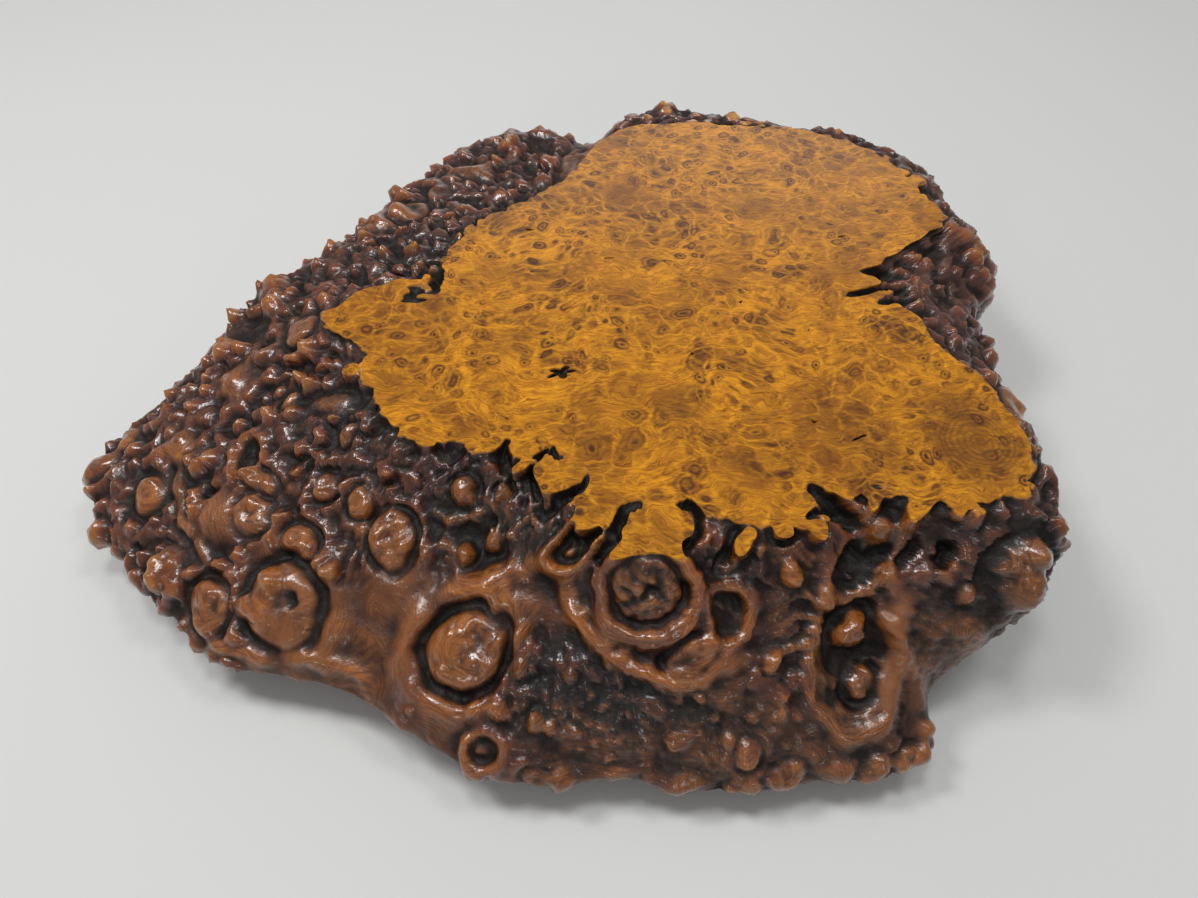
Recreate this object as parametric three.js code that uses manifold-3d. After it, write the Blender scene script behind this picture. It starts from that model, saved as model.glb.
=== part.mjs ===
// A burl slab: one piece of wood that grew as a wart on a trunk, covered in bud knobs, eyes and ridges,
// with its top sawn level and polished. It stands on a smaller sawn face under an overhanging rim.
// Millimetres, +Z up, the front facing -Y. A place on the flank is a bearing, in degrees round the heart
// from +X towards +Y, and a share of the way down: 0 at the saw line, 0.5 at the belly, 1 at the rim.
import * as THREE from "three";
import { mergeVertices } from "three/addons/utils/BufferGeometryUtils.js";
import Module from "manifold-3d";

// Driving dimensions
const SAW_HEIGHT = 92; // level of the polished top above the surface that the slab stands on
const SAW_WASTE = 0.6; // the bark side stood this far above the saw cut along the saw line
const CROWN_RISE = 9; // how far the bark side domed up above the saw line before it was cut
const CROWN_SHARE = 0.45; // where the crown has that rise, as a share of the way out to the saw line
const FOOT_SHARE = 0.66; // size of the sawn foot, as a share of the rim
const UNDERCUT_SHARE = 0.83; // the underside half-way in, as a share of the rim
const UNDERCUT_HEIGHT = 6;
const FOOT_SUNK = 3; // the uncut foot reached this far below the saw cut
const HEART = new THREE.Vector2(28, -11); // the point that the bearings are taken from

// Mesh steps
const FRONT_ARC = [205, 340]; // bearings of the side with the large eyes, which has narrower columns
const FRONT_COLUMNS = 80;
const BACK_COLUMNS = 84;
const FLANK_ROWS = 24;
const FRONT_BUD_ROWS = 2; // rows that one bud spans
const BACK_BUD_ROWS = 4;
const CROWN_DOWNS = [-0.55, -0.3, -0.16, -0.08];
const UNDER_ROWS = 3;
const NORMAL_STEP_DEG = 1.5;
const NORMAL_STEP_DOWN = 0.03;

// The saw line round the polished top: bearing, radius
const SAW_LINE = [
  [3, 146], [10, 138], [16, 136], [21, 152], [25, 190], [32, 202], [40, 210], [48, 212], [56, 205],
  [66, 193], [76, 184], [87, 174], [94, 150], [100, 127], [112, 111], [128, 108], [140, 100], [157, 96],
  [166, 118], [173, 130], [180, 130], [185, 112], [195, 109], [205, 110], [213, 108], [220, 107],
  [228, 94], [240, 86], [250, 90], [261, 98], [268, 112], [276, 124], [284, 119], [290, 114], [297, 128],
  [306, 130], [314, 132], [319, 150], [323, 166], [326, 179], [330, 190], [335, 193], [341, 184], [348, 171],
  [356, 151],
];
// The belly, half-way down: bearing, radius, height
const BELLY = [
  [11, 190, 68], [20, 216, 70], [33, 232, 74], [42, 242, 76], [51, 233, 80], [64, 217, 82], [84, 207, 84],
  [93, 182, 80], [101, 192, 82], [117, 190, 80], [132, 168, 80], [152, 162, 78], [165, 186, 68],
  [175, 192, 62], [187, 195, 56], [200, 182, 56], [215, 166, 58], [230, 146, 60], [245, 138, 60],
  [260, 142, 60], [275, 152, 60], [290, 160, 58], [300, 166, 56], [309, 178, 54], [318, 202, 56],
  [327, 214, 60], [336, 206, 70], [345, 199, 68], [354, 192, 66],
];
// The overhanging rim: bearing, radius, height
const RIM = [
  [0, 184, 22], [15, 196, 22], [30, 216, 22], [45, 226, 22], [60, 220, 22], [75, 214, 22], [90, 206, 22],
  [105, 206, 22], [120, 204, 22], [135, 196, 22], [150, 194, 22], [164, 200, 24], [172, 217, 24],
  [180, 240, 24], [187, 262, 24], [193, 257, 24], [200, 243, 24], [207, 233, 24], [213, 224, 24],
  [220, 216, 25], [227, 199, 26], [234, 189, 26], [241, 187, 25], [248, 190, 24], [256, 192, 22],
  [264, 190, 20], [271, 186, 20], [278, 192, 18], [287, 199, 18], [293, 203, 18], [300, 214, 18],
  [305, 217, 18], [308, 216, 18], [311, 204, 19], [316, 201, 21], [322, 204, 22], [328, 202, 22],
  [340, 186, 22],
];

// Eyes: a boss in a ring-shaped groove, with a raised lip round it. Heights are above the flank.
const EYES = [
  { bearing: 247.5, down: 0.66, radius: 17, boss: 6, groove: 7, lip: 4 },
  { bearing: 221, down: 0.72, radius: 17, boss: 7, groove: 4, lip: 3 },
  { bearing: 227.5, down: 0.41, radius: 11, boss: 6, groove: 4, lip: 3 },
  { bearing: 213.5, down: 0.83, radius: 12, boss: 6, groove: 3, lip: 1 },
  { bearing: 330, down: 0.4, radius: 17, boss: 8, groove: 4, lip: 0 },
  { bearing: 304.5, down: 0.49, radius: 9, boss: 9, groove: 5, lip: 2 },
  { bearing: 303, down: 0.66, radius: 8, boss: 6, groove: 4, lip: 2 },
  { bearing: 197, down: 0.44, radius: 10, boss: 5, groove: 3, lip: 2 },
  { bearing: 281.5, down: 0.48, radius: 9, boss: 5, groove: 3, lip: 2 },
];
// Dishes: a raised ring round a hollow
const DISHES = [
  { bearing: 275, down: 0.24, radius: 17, lip: 7, hollow: 5 },
  { bearing: 264.5, down: 0.14, radius: 11, lip: 7, hollow: 5 },
  { bearing: 288, down: 0.37, radius: 11, lip: 4, hollow: 4 },
];
// Knobs: single round buds that are larger than their neighbours
const KNOBS = [
  { bearing: 187.5, down: 0.95, radius: 12, height: 7 },
  { bearing: 206, down: 0.9, radius: 9, height: 6 },
  { bearing: 218, down: 0.26, radius: 8, height: 6 },
  { bearing: 235.5, down: 0.2, radius: 7, height: 5 },
  { bearing: 241.5, down: 0.37, radius: 7, height: 6 },
  { bearing: 246, down: 0.3, radius: 6, height: 5 },
  { bearing: 254.5, down: 0.9, radius: 9, height: 5 },
  { bearing: 259.5, down: 0.76, radius: 7, height: 5 },
  { bearing: 262.5, down: 0.96, radius: 9, height: 5 },
  { bearing: 279, down: 0.97, radius: 7, height: 4 },
  { bearing: 286.5, down: 0.81, radius: 8, height: 5 },
  { bearing: 288, down: 0.97, radius: 9, height: 4 },
  { bearing: 293, down: 0.53, radius: 7, height: 5 },
  { bearing: 292, down: 0.14, radius: 7, height: 6 },
  { bearing: 299, down: 0.22, radius: 8, height: 6 },
  { bearing: 304, down: 0.1, radius: 7, height: 6 },
  { bearing: 304, down: 0.96, radius: 10, height: 5 },
  { bearing: 309, down: 0.92, radius: 9, height: 5 },
  { bearing: 321, down: 0.05, radius: 9, height: 6 },
  { bearing: 323, down: 0.45, radius: 7, height: 5 },
  { bearing: 20, down: 0.4, radius: 20, height: 6 },
  { bearing: 80, down: 0.3, radius: 12, height: 8 },
  { bearing: 88, down: 0.3, radius: 12, height: 8 },
  { bearing: 164, down: 0.48, radius: 14, height: 10 },
];
// Ridges, raised, and crevices, sunk: a path of bearing, down, with its half width and height
const RIDGES = [
  { path: [[194, 0.62], [203, 0.68], [212, 0.72]], width: 7, height: 4 },
  { path: [[214, 0.12], [220, 0.3], [224, 0.5]], width: 6, height: 3 },
  { path: [[216, 0.9], [226, 0.9], [235, 0.88]], width: 8, height: 3 },
  { path: [[261, 0.28], [264, 0.4], [269, 0.51], [275, 0.57], [281, 0.58], [286, 0.52]], width: 8,
    height: 5 },
  { path: [[298, 0.02], [301, 0.2], [305, 0.34], [309, 0.45], [311, 0.6]], width: 6, height: 3 },
  { path: [[308.5, 0.4], [310, 0.55], [308.5, 0.7]], width: 7, height: 4 },
  { path: [[246, -0.18], [248, 0], [250, 0.16]], width: 5, height: -8 },
  { path: [[261.5, -0.14], [260, 0], [257, 0.2]], width: 5, height: -8 },
  { path: [[273, -0.18], [270, 0], [268, 0.12]], width: 4, height: -7 },
  { path: [[287, -0.1], [288, 0], [286, 0.12]], width: 5, height: -7 },
  { path: [[307, 0.27], [313, 0.27]], width: 8, height: -6 },
  { path: [[320, 0.24], [324, 0.26]], width: 6, height: -8 },
  { path: [[10, -0.07], [11, 0.12]], width: 6, height: -6 },
  { path: [[18, -0.07], [17, 0.12]], width: 6, height: -6 },
];
// Bare stretches of smooth wood with no small buds: a place and a radius
const BARE = [
  { bearing: 232, down: 0.8, radius: 30 },
  { bearing: 268, down: 0.78, radius: 28 },
  { bearing: 285, down: 0.78, radius: 30 },
  { bearing: 296, down: 0.8, radius: 26 },
  { bearing: 314, down: 0.7, radius: 32 },
  { bearing: 254, down: 0.45, radius: 18 },
  { bearing: 93, down: 0.35, radius: 14 },
];
// Height of the small buds round the flank: bearing, height
const BUD_HEIGHT = [
  [10, 5], [60, 5], [110, 5], [150, 5.5], [200, 5], [222, 4], [240, 2.5], [262, 2.5], [285, 2.5],
  [305, 3], [318, 4], [335, 5],
];
const BUD_JITTER = 0.3; // share of a mesh step that a bud strays from its row
const BUD_SPREAD = [0.35, 1.25]; // smallest and largest bud, as a share of BUD_HEIGHT
const BUD_FILL = 0.4; // largest share of BUD_HEIGHT between the buds

const wasm = await Module();
wasm.setup();

const smoothstep = (low, high, x) => THREE.MathUtils.smoothstep(x, low, high);

// A repeatable draw from 0 to 1 for a bud's column, row and purpose.
function draw(column, row, purpose) {
  const wave = Math.sin(column * 127.1 + row * 311.7 + purpose * 74.7) * 43758.5453;
  return wave - Math.floor(wave);
}

// A smooth closed curve through rows of [bearing, value...], read at a bearing.
function roundCurve(rows, place) {
  const count = rows.length;
  const at = (i) => {
    const turn = Math.floor(i / count);
    const row = rows[i - turn * count];
    return { bearing: row[0] + 360 * turn, value: row[place] };
  };
  const slope = (i) =>
    (at(i + 1).value - at(i - 1).value) / (at(i + 1).bearing - at(i - 1).bearing);
  return (bearing) => {
    const angle = THREE.MathUtils.euclideanModulo(bearing, 360);
    let i = -1;
    while (at(i + 1).bearing <= angle) i += 1;
    const [low, high] = [at(i), at(i + 1)];
    const step = high.bearing - low.bearing;
    const t = (angle - low.bearing) / step;
    return (
      (2 * t ** 3 - 3 * t ** 2 + 1) * low.value + (t ** 3 - 2 * t ** 2 + t) * step * slope(i) +
      (3 * t ** 2 - 2 * t ** 3) * high.value + (t ** 3 - t ** 2) * step * slope(i + 1)
    );
  };
}

const sawRadius = roundCurve(SAW_LINE, 1);
const bellyRadius = roundCurve(BELLY, 1);
const bellyHeight = roundCurve(BELLY, 2);
const rimRadius = roundCurve(RIM, 1);
const rimHeight = roundCurve(RIM, 2);
const budHeight = roundCurve(BUD_HEIGHT, 1);

// The smooth body's section at one bearing: five points out from the crown, over the rim and under it.
function sectionPoints(bearing) {
  const saw = sawRadius(bearing);
  const rim = rimRadius(bearing);
  return [
    new THREE.Vector2(saw * CROWN_SHARE, SAW_HEIGHT + CROWN_RISE),
    new THREE.Vector2(saw, SAW_HEIGHT + SAW_WASTE),
    new THREE.Vector2(bellyRadius(bearing), bellyHeight(bearing)),
    new THREE.Vector2(rim, rimHeight(bearing)),
    new THREE.Vector2(rim * UNDERCUT_SHARE, UNDERCUT_HEIGHT),
  ];
}

function catmullRom(p0, p1, p2, p3, t) {
  const blend = (a, b, c, d) =>
    0.5 * (2 * b + (c - a) * t + (2 * a - 5 * b + 4 * c - d) * t * t + (3 * b - 3 * c + d - a) * t ** 3);
  return new THREE.Vector2(blend(p0.x, p1.x, p2.x, p3.x), blend(p0.y, p1.y, p2.y, p3.y));
}

// A point of the smooth body. Down runs on past the rim to 2 at the edge of the sawn foot.
function smoothPoint(bearing, down) {
  const [crown, saw, belly, rim, under] = sectionPoints(bearing);
  let at;
  if (down < 0) at = saw.clone().lerp(crown, -down / (1 - CROWN_SHARE));
  else if (down < 0.5) at = catmullRom(crown, saw, belly, rim, down * 2);
  else if (down <= 1) at = catmullRom(saw, belly, rim, under, down * 2 - 1);
  else {
    const foot = new THREE.Vector2(rim.x * FOOT_SHARE, -FOOT_SUNK);
    at = new THREE.QuadraticBezierCurve(rim, under, foot).getPoint(down - 1);
  }
  const angle = THREE.MathUtils.degToRad(bearing);
  return new THREE.Vector3(HEART.x + at.x * Math.cos(angle), HEART.y + at.x * Math.sin(angle), at.y);
}

function outwardNormal(bearing, down) {
  const left = smoothPoint(bearing + NORMAL_STEP_DEG, down);
  const right = smoothPoint(bearing - NORMAL_STEP_DEG, down);
  const below = smoothPoint(bearing, down + NORMAL_STEP_DOWN);
  const above = smoothPoint(bearing, down - NORMAL_STEP_DOWN);
  return below.sub(above).cross(left.sub(right)).normalize();
}

const centred = (features) => features.map((f) => ({ ...f, centre: smoothPoint(f.bearing, f.down) }));
const eyes = centred(EYES);
const dishes = centred(DISHES);
const knobs = centred(KNOBS);
const bare = centred(BARE);
const ridges = RIDGES.map((r) => ({ ...r, points: r.path.map(([b, d]) => smoothPoint(b, d)) }));

const bump = (x, middle, width) => Math.exp(-(((x - middle) / width) ** 2));
const dome = (q) => (q < 1 ? Math.sqrt(1 - q * q) : 0);

function distanceToPath(point, path) {
  const nearest = new THREE.Vector3();
  let least = Infinity;
  for (let i = 1; i < path.length; i++) {
    new THREE.Line3(path[i - 1], path[i]).closestPointToPoint(point, true, nearest);
    least = Math.min(least, nearest.distanceTo(point));
  }
  return least;
}

// The large relief at a point of the smooth body, and the share of small buds that it leaves room for.
function largeRelief(point) {
  let height = 0;
  let room = 1;
  for (const eye of eyes) {
    const q = point.distanceTo(eye.centre) / eye.radius;
    height += eye.boss * dome(q) - eye.groove * bump(q, 1.12, 0.16) + eye.lip * bump(q, 1.45, 0.22);
    room *= smoothstep(1.5, 1.9, q);
  }
  for (const dish of dishes) {
    const q = point.distanceTo(dish.centre) / dish.radius;
    height += dish.lip * bump(q, 0.95, 0.25) - dish.hollow * dome(q / 0.75);
    room *= smoothstep(1.1, 1.5, q);
  }
  for (const knob of knobs) {
    const q = point.distanceTo(knob.centre) / knob.radius;
    height += knob.height * dome(q);
    room *= smoothstep(0.9, 1.4, q);
  }
  for (const ridge of ridges) {
    const q = distanceToPath(point, ridge.points) / ridge.width;
    height += ridge.height * dome(q);
    room *= smoothstep(0.7, 1.3, q);
  }
  for (const patch of bare) room *= smoothstep(0.75, 1.1, point.distanceTo(patch.centre) / patch.radius);
  return { height, room };
}

// The bearing of a column, counted from the start of the front arc.
const COLUMNS = FRONT_COLUMNS + BACK_COLUMNS;
function columnBearing(column) {
  const [start, end] = FRONT_ARC;
  if (column <= FRONT_COLUMNS) return start + ((end - start) * column) / FRONT_COLUMNS;
  return end + ((start + 360 - end) * (column - FRONT_COLUMNS)) / BACK_COLUMNS;
}

// The share of a bud's height at one crossing of the mesh. Buds stand on every other column, half a bud
// higher or lower than on the next, with small fill between them.
function budShare(column, row) {
  const rows = column > 0 && column < FRONT_COLUMNS ? FRONT_BUD_ROWS : BACK_BUD_ROWS;
  const place = row / rows + (column % 4 === 0 ? 0 : 0.5);
  if (column % 2) return BUD_FILL * draw(column, row, 4);
  const size = THREE.MathUtils.lerp(...BUD_SPREAD, draw(column, Math.floor(place), 3));
  return size * Math.abs(Math.sin(Math.PI * place));
}

// The burl's bark side at one crossing of the mesh.
function barkPoint(column, row) {
  const stray = (purpose) => (draw(column, row, purpose) - 0.5) * 2 * BUD_JITTER;
  const bearing = columnBearing(column + stray(1));
  const onEdge = row === 0 || row === FLANK_ROWS;
  const down = (row + (onEdge ? 0 : stray(2))) / FLANK_ROWS;
  const smooth = smoothPoint(bearing, down);
  const { height, room } = largeRelief(smooth);
  const bud = budHeight(bearing) * budShare(column, row) * room;
  return smooth.addScaledVector(outwardNormal(bearing, down), height + bud);
}

function crownPoint(column, down) {
  const bearing = columnBearing(column);
  const smooth = smoothPoint(bearing, down);
  return smooth.addScaledVector(outwardNormal(bearing, down), largeRelief(smooth).height);
}

// The whole closed surface, ring by ring from the crown's middle to the foot's middle.
function burlSurface() {
  const rings = [];
  const ring = (place) => rings.push(Array.from({ length: COLUMNS }, (_, column) => place(column)));
  for (const down of CROWN_DOWNS) ring((column) => crownPoint(column, down));
  for (let row = 0; row <= FLANK_ROWS; row++) ring((column) => barkPoint(column, row));
  for (let row = 1; row <= UNDER_ROWS; row++) {
    ring((column) => smoothPoint(columnBearing(column), 1 + row / UNDER_ROWS));
  }
  const points = rings.flat();
  const crownMiddle = points.push(new THREE.Vector3(HEART.x, HEART.y, SAW_HEIGHT + CROWN_RISE)) - 1;
  const footMiddle = points.push(new THREE.Vector3(HEART.x, HEART.y, -FOOT_SUNK)) - 1;
  const index = [];
  const last = (rings.length - 1) * COLUMNS;
  for (let column = 0; column < COLUMNS; column++) {
    const next = (column + 1) % COLUMNS;
    index.push(crownMiddle, column, next, footMiddle, last + next, last + column);
    for (let ringStart = 0; ringStart < last; ringStart += COLUMNS) {
      const [a, b] = [ringStart + column, ringStart + next];
      const [c, d] = [a + COLUMNS, b + COLUMNS];
      if ((column + ringStart / COLUMNS) % 2) index.push(a, c, b, b, c, d);
      else index.push(a, c, d, a, d, b);
    }
  }
  return new THREE.BufferGeometry().setFromPoints(points).setIndex(index);
}

function solidOf(geometry) {
  const bareGeometry = geometry.clone();
  bareGeometry.deleteAttribute("normal");
  bareGeometry.deleteAttribute("uv");
  const merged = mergeVertices(bareGeometry, 1e-4);
  return new wasm.Manifold(
    new wasm.Mesh({
      numProp: 3,
      vertProperties: merged.attributes.position.array,
      triVerts: new Uint32Array(merged.index.array),
    }),
  );
}

function geometryOf(solid) {
  const { vertProperties, triVerts } = solid.getMesh();
  const geometry = new THREE.BufferGeometry()
    .setAttribute("position", new THREE.BufferAttribute(vertProperties, 3))
    .setIndex(new THREE.BufferAttribute(triVerts, 1));
  geometry.computeVertexNormals();
  return geometry;
}

// The two saw cuts: all that is above the polished top, and all that is below the foot.
function sawn(geometry) {
  const waste = 700;
  const above = new THREE.BoxGeometry(waste, waste, waste).translate(0, 0, SAW_HEIGHT + waste / 2);
  const below = new THREE.BoxGeometry(waste, waste, waste).translate(0, 0, -waste / 2);
  return geometryOf(solidOf(geometry).subtract(solidOf(above)).subtract(solidOf(below)));
}

const burlWood = new THREE.MeshStandardMaterial({ color: 0x6b3a20, roughness: 0.4, metalness: 0 });
const burlSlab = new THREE.Mesh(sawn(burlSurface()), burlWood);
burlSlab.name = "burl_slab";

const slab = new THREE.Group();
slab.add(burlSlab);
export default slab;
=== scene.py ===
import math
from functools import partial
import bpy
import bmesh
import numpy as np
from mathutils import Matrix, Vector


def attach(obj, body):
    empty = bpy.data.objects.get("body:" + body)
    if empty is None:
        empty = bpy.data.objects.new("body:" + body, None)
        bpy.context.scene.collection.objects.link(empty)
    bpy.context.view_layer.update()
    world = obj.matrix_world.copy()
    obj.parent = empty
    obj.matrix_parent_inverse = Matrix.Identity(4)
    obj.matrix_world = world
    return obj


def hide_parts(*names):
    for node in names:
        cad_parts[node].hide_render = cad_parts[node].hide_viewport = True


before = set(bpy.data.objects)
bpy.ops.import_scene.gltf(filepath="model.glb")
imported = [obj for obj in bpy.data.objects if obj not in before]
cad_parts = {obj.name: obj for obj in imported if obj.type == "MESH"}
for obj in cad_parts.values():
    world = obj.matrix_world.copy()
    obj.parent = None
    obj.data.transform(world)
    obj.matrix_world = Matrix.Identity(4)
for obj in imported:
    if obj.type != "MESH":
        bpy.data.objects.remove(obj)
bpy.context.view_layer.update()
mm = 0.001


# Small helpers

def linear(hexColour):
    channels = [int(hexColour[i:i + 2], 16) / 255 for i in (1, 3, 5)]
    return [c / 12.92 if c <= 0.04045 else ((c + 0.055) / 1.055) ** 2.4 for c in channels] + [1.0]


def wire(tree, node, links):  # by socket name or in order: a node's socket is linked, a plain value is set
    for socket, source in links.items() if isinstance(links, dict) else enumerate(links):
        if isinstance(source, bpy.types.NodeSocket):
            tree.links.new(source, node.inputs[socket])
        else:
            node.inputs[socket].default_value = source


def addNode(tree, kind, links=(), out=0, stops=(), **settings):  # a kind without a prefix is a shader node's
    node = tree.nodes.new(kind if "Node" in kind else "ShaderNode" + kind)
    for name, value in settings.items():
        setattr(node, name, value)
    wire(tree, node, links)
    for i, (place, colour) in enumerate(stops):
        ramp = node.color_ramp.elements
        stop = ramp[i] if i < len(ramp) else ramp.new(place)
        stop.position, stop.color = place, linear(colour)
    return node.outputs[out] if len(node.outputs) else node


def smoothstep(low, high, x):
    t = np.clip((x - low) / (high - low), 0, 1)
    return t * t * (3 - 2 * t)


def hermite(xs, ys, x):  # a smooth curve through points, level beyond its ends
    xs, ys = np.asarray(xs, float), np.asarray(ys, float)
    slopes = np.zeros_like(ys)
    slopes[1:-1] = (ys[2:] - ys[:-2]) / (xs[2:] - xs[:-2])
    x = np.clip(x, xs[0], xs[-1])
    i = np.clip(np.searchsorted(xs, x, side="right") - 1, 0, len(xs) - 2)
    step = xs[i + 1] - xs[i]
    t = (x - xs[i]) / step
    return ((2 * t**3 - 3 * t**2 + 1) * ys[i] + (t**3 - 2 * t**2 + t) * step * slopes[i]
            + (3 * t**2 - 2 * t**3) * ys[i + 1] + (t**3 - t**2) * step * slopes[i + 1])


def roundCurve(rows, place):  # the same, closed round the compass
    bearings = np.array([row[0] for row in rows], float)
    values = np.array([row[place] for row in rows], float)
    wide = np.concatenate([bearings - 360, bearings, bearings + 360])
    return lambda bearing: hermite(wide, np.tile(values, 3), np.mod(bearing, 360))


def blurred(field, passes):
    for _ in range(passes):
        field = (np.roll(field, 1, 1) + 2 * field + np.roll(field, -1, 1)) / 4
        edged = np.concatenate([field[:1], field, field[-1:]])
        field = (edged[:-2] + 2 * edged[1:-1] + edged[2:]) / 4
    return field


# The burl's body. A place on it is a bearing in degrees round the heart and a share of the way down:
# 0 at the saw line, 0.5 at the belly, 1 at the rim, 2 at the foot. Millimetres until the mesh is made.
burl = dict(
    heart=(28, -11), sawHeight=92, sawWaste=0.6, crownRise=9, crownShare=0.45,
    undercutShare=0.83, undercutHeight=6, footShare=0.66, footSunk=3,
    frontArc=(200, 345), frontColumns=400, backColumns=440,
    crownReach=-0.36, crownRows=22, flankRows=92, underRows=9, seed=11,
    sawLine=[  # bearing, radius
        (3, 146), (10, 138), (16, 136), (21, 152), (25, 190), (32, 202), (40, 210), (48, 212), (56, 205),
        (66, 193), (76, 184), (87, 174), (94, 150), (100, 127), (112, 111), (128, 108), (140, 100),
        (157, 96), (166, 118), (173, 130), (180, 130), (185, 112), (195, 109), (205, 110), (213, 108),
        (220, 107), (228, 94), (240, 86), (250, 90), (261, 98), (268, 112), (276, 124), (284, 119),
        (290, 114), (297, 128), (306, 130), (314, 132), (319, 150), (323, 166), (326, 179), (330, 190),
        (335, 193), (341, 184), (348, 171), (356, 151)],
    belly=[  # bearing, radius, height
        (11, 190, 68), (20, 216, 70), (33, 232, 74), (42, 242, 76), (51, 233, 80), (64, 217, 82),
        (84, 207, 84), (93, 182, 80), (101, 192, 82), (117, 190, 80), (132, 168, 80), (152, 162, 78),
        (165, 186, 68), (175, 192, 62), (187, 195, 56), (200, 182, 56), (215, 166, 58), (230, 146, 60),
        (245, 138, 60), (260, 142, 60), (275, 152, 60), (290, 160, 58), (300, 166, 56), (309, 178, 54),
        (318, 202, 56), (327, 214, 60), (336, 206, 70), (345, 199, 68), (354, 192, 66)],
    rim=[  # bearing, radius, height
        (0, 184, 22), (15, 196, 22), (30, 216, 22), (45, 226, 22), (60, 220, 22), (75, 214, 22),
        (90, 206, 22), (105, 206, 22), (120, 204, 22), (135, 196, 22), (150, 194, 22), (164, 200, 24),
        (172, 217, 24), (180, 240, 24), (187, 262, 24), (193, 257, 24), (200, 243, 24), (207, 233, 24),
        (213, 224, 24), (220, 216, 25), (227, 199, 26), (234, 189, 26), (241, 187, 25), (248, 190, 24),
        (256, 192, 22), (264, 190, 20), (271, 186, 20), (278, 192, 18), (287, 199, 18), (293, 203, 18),
        (300, 214, 18), (305, 217, 18), (308, 216, 18), (311, 204, 19), (316, 201, 21), (322, 204, 22),
        (328, 202, 22), (340, 186, 22)],
)
sawRadius = roundCurve(burl["sawLine"], 1)
bellyRadius, bellyHeight = roundCurve(burl["belly"], 1), roundCurve(burl["belly"], 2)
rimRadius, rimHeight = roundCurve(burl["rim"], 1), roundCurve(burl["rim"], 2)


def catmullRom(a, b, c, d, t):
    return 0.5 * (2 * b + (c - a) * t + (2 * a - 5 * b + 4 * c - d) * t**2 + (3 * b - 3 * c + d - a) * t**3)


def smoothPoint(bearing, down):
    bearing, down = np.broadcast_arrays(np.asarray(bearing, float), np.asarray(down, float))
    saw, rim = sawRadius(bearing), rimRadius(bearing)
    sections = [  # the same five points out, over and under, as radii and as heights
        (saw * burl["crownShare"], saw, bellyRadius(bearing), rim, rim * burl["undercutShare"],
         rim * burl["footShare"]),
        (burl["sawHeight"] + burl["crownRise"], burl["sawHeight"] + burl["sawWaste"], bellyHeight(bearing),
         rimHeight(bearing), burl["undercutHeight"], -burl["footSunk"])]
    placed = []
    for crown, edge, belly, brim, under, foot in sections:
        t = np.clip(down - 1, 0, 1)
        placed.append(np.select(
            [down < 0, down < 0.5, down <= 1],
            [edge + (crown - edge) * -down / (1 - burl["crownShare"]),
             catmullRom(crown, edge, belly, brim, down * 2),
             catmullRom(edge, belly, brim, under, down * 2 - 1)],
            (1 - t)**2 * brim + 2 * t * (1 - t) * under + t**2 * foot))
    angle = np.radians(bearing)
    return np.stack([burl["heart"][0] + placed[0] * np.cos(angle),
                     burl["heart"][1] + placed[0] * np.sin(angle), placed[1]], -1)


def unit(vectors):
    return vectors / np.maximum(np.linalg.norm(vectors, axis=-1, keepdims=True), 1e-9)


def tangents(bearing, down):
    along = smoothPoint(np.add(bearing, 1.5), down) - smoothPoint(np.subtract(bearing, 1.5), down)
    fall = smoothPoint(bearing, np.add(down, 0.03)) - smoothPoint(bearing, np.subtract(down, 0.03))
    return unit(along), unit(fall)


# Forms that stand on the flank. A profile gives the height, as a share, out from the middle (0) past
# the form's own edge (1) to where it has died away. Lobes fold the top; dark residue and painted shade
# darken the middle.
kinds = {
    "swell": dict(profile=[(0, 1), (0.5, 0.7), (0.8, 0.25), (1.1, 0)]),
    "knob": dict(profile=[
        (0, 1), (0.3, 0.95), (0.6, 0.72), (0.85, 0.32), (1, 0), (1.14, -0.16), (1.4, 0)]),
    "nipple": dict(profile=[(0, 1), (0.3, 0.8), (0.6, 0.4), (0.9, 0.05), (1.1, -0.12), (1.4, 0)]),
    "boss": dict(lobes=4, rough=0.08, profile=[
        (0, 0.9), (0.35, 1), (0.65, 0.88), (0.85, 0.5), (0.97, -0.05), (1.06, -0.4), (1.15, -0.1),
        (1.28, 0.22), (1.5, 0.14), (1.8, 0)]),
    "greatEye": dict(lobes=4, rough=0.13, grooveSide=125, profile=[
        (0, 1), (0.3, 1), (0.55, 0.92), (0.78, 0.7), (0.92, 0.38), (1, 0), (1.06, -0.6), (1.1, -0.6),
        (1.15, -0.05), (1.22, 0.28), (1.34, 0.4), (1.5, 0.33), (1.8, 0.1), (2, 0)]),
    "ring": dict(lobes=4, rough=0.14, soot=0.6, profile=[
        (0, 0.2), (0.3, 0.35), (0.6, 0.35), (0.77, 0.15), (0.85, -0.5), (0.9, 0), (0.96, 0.75), (1.02, 1),
        (1.09, 0.72), (1.16, 0.85), (1.27, 0.55), (1.45, 0.1), (1.6, 0)]),
    "crater": dict(lobes=4, rough=0.16, soot=0.3, profile=[
        (0, -0.2), (0.35, -0.1), (0.55, -0.2), (0.7, -0.45), (0.8, 0.3), (0.92, 1), (1.05, 0.85),
        (1.25, 0.25), (1.5, 0)]),
    "stud": dict(profile=[
        (0, 1), (0.6, 0.97), (0.85, 0.55), (1, -0.2), (1.2, -0.55), (1.45, -0.3), (1.8, 0)]),
    "dish": dict(lobes=5, rough=0.16, profile=[
        (0, 0), (0.4, -0.1), (0.68, -0.15), (0.88, 0.7), (1, 1), (1.15, 0.7), (1.4, 0.1), (1.6, 0)]),
    "hollow": dict(lobes=6, rough=0.12, soot=0.6, profile=[
        (0, -1), (0.5, -0.9), (0.8, -0.45), (1, 0.25), (1.12, 0.35), (1.35, 0)]),
    "pit": dict(soot=1, ragged=0.3, profile=[(0, -1), (0.5, -0.85), (0.85, -0.25), (1.05, 0.1), (1.3, 0)]),
}
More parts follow.
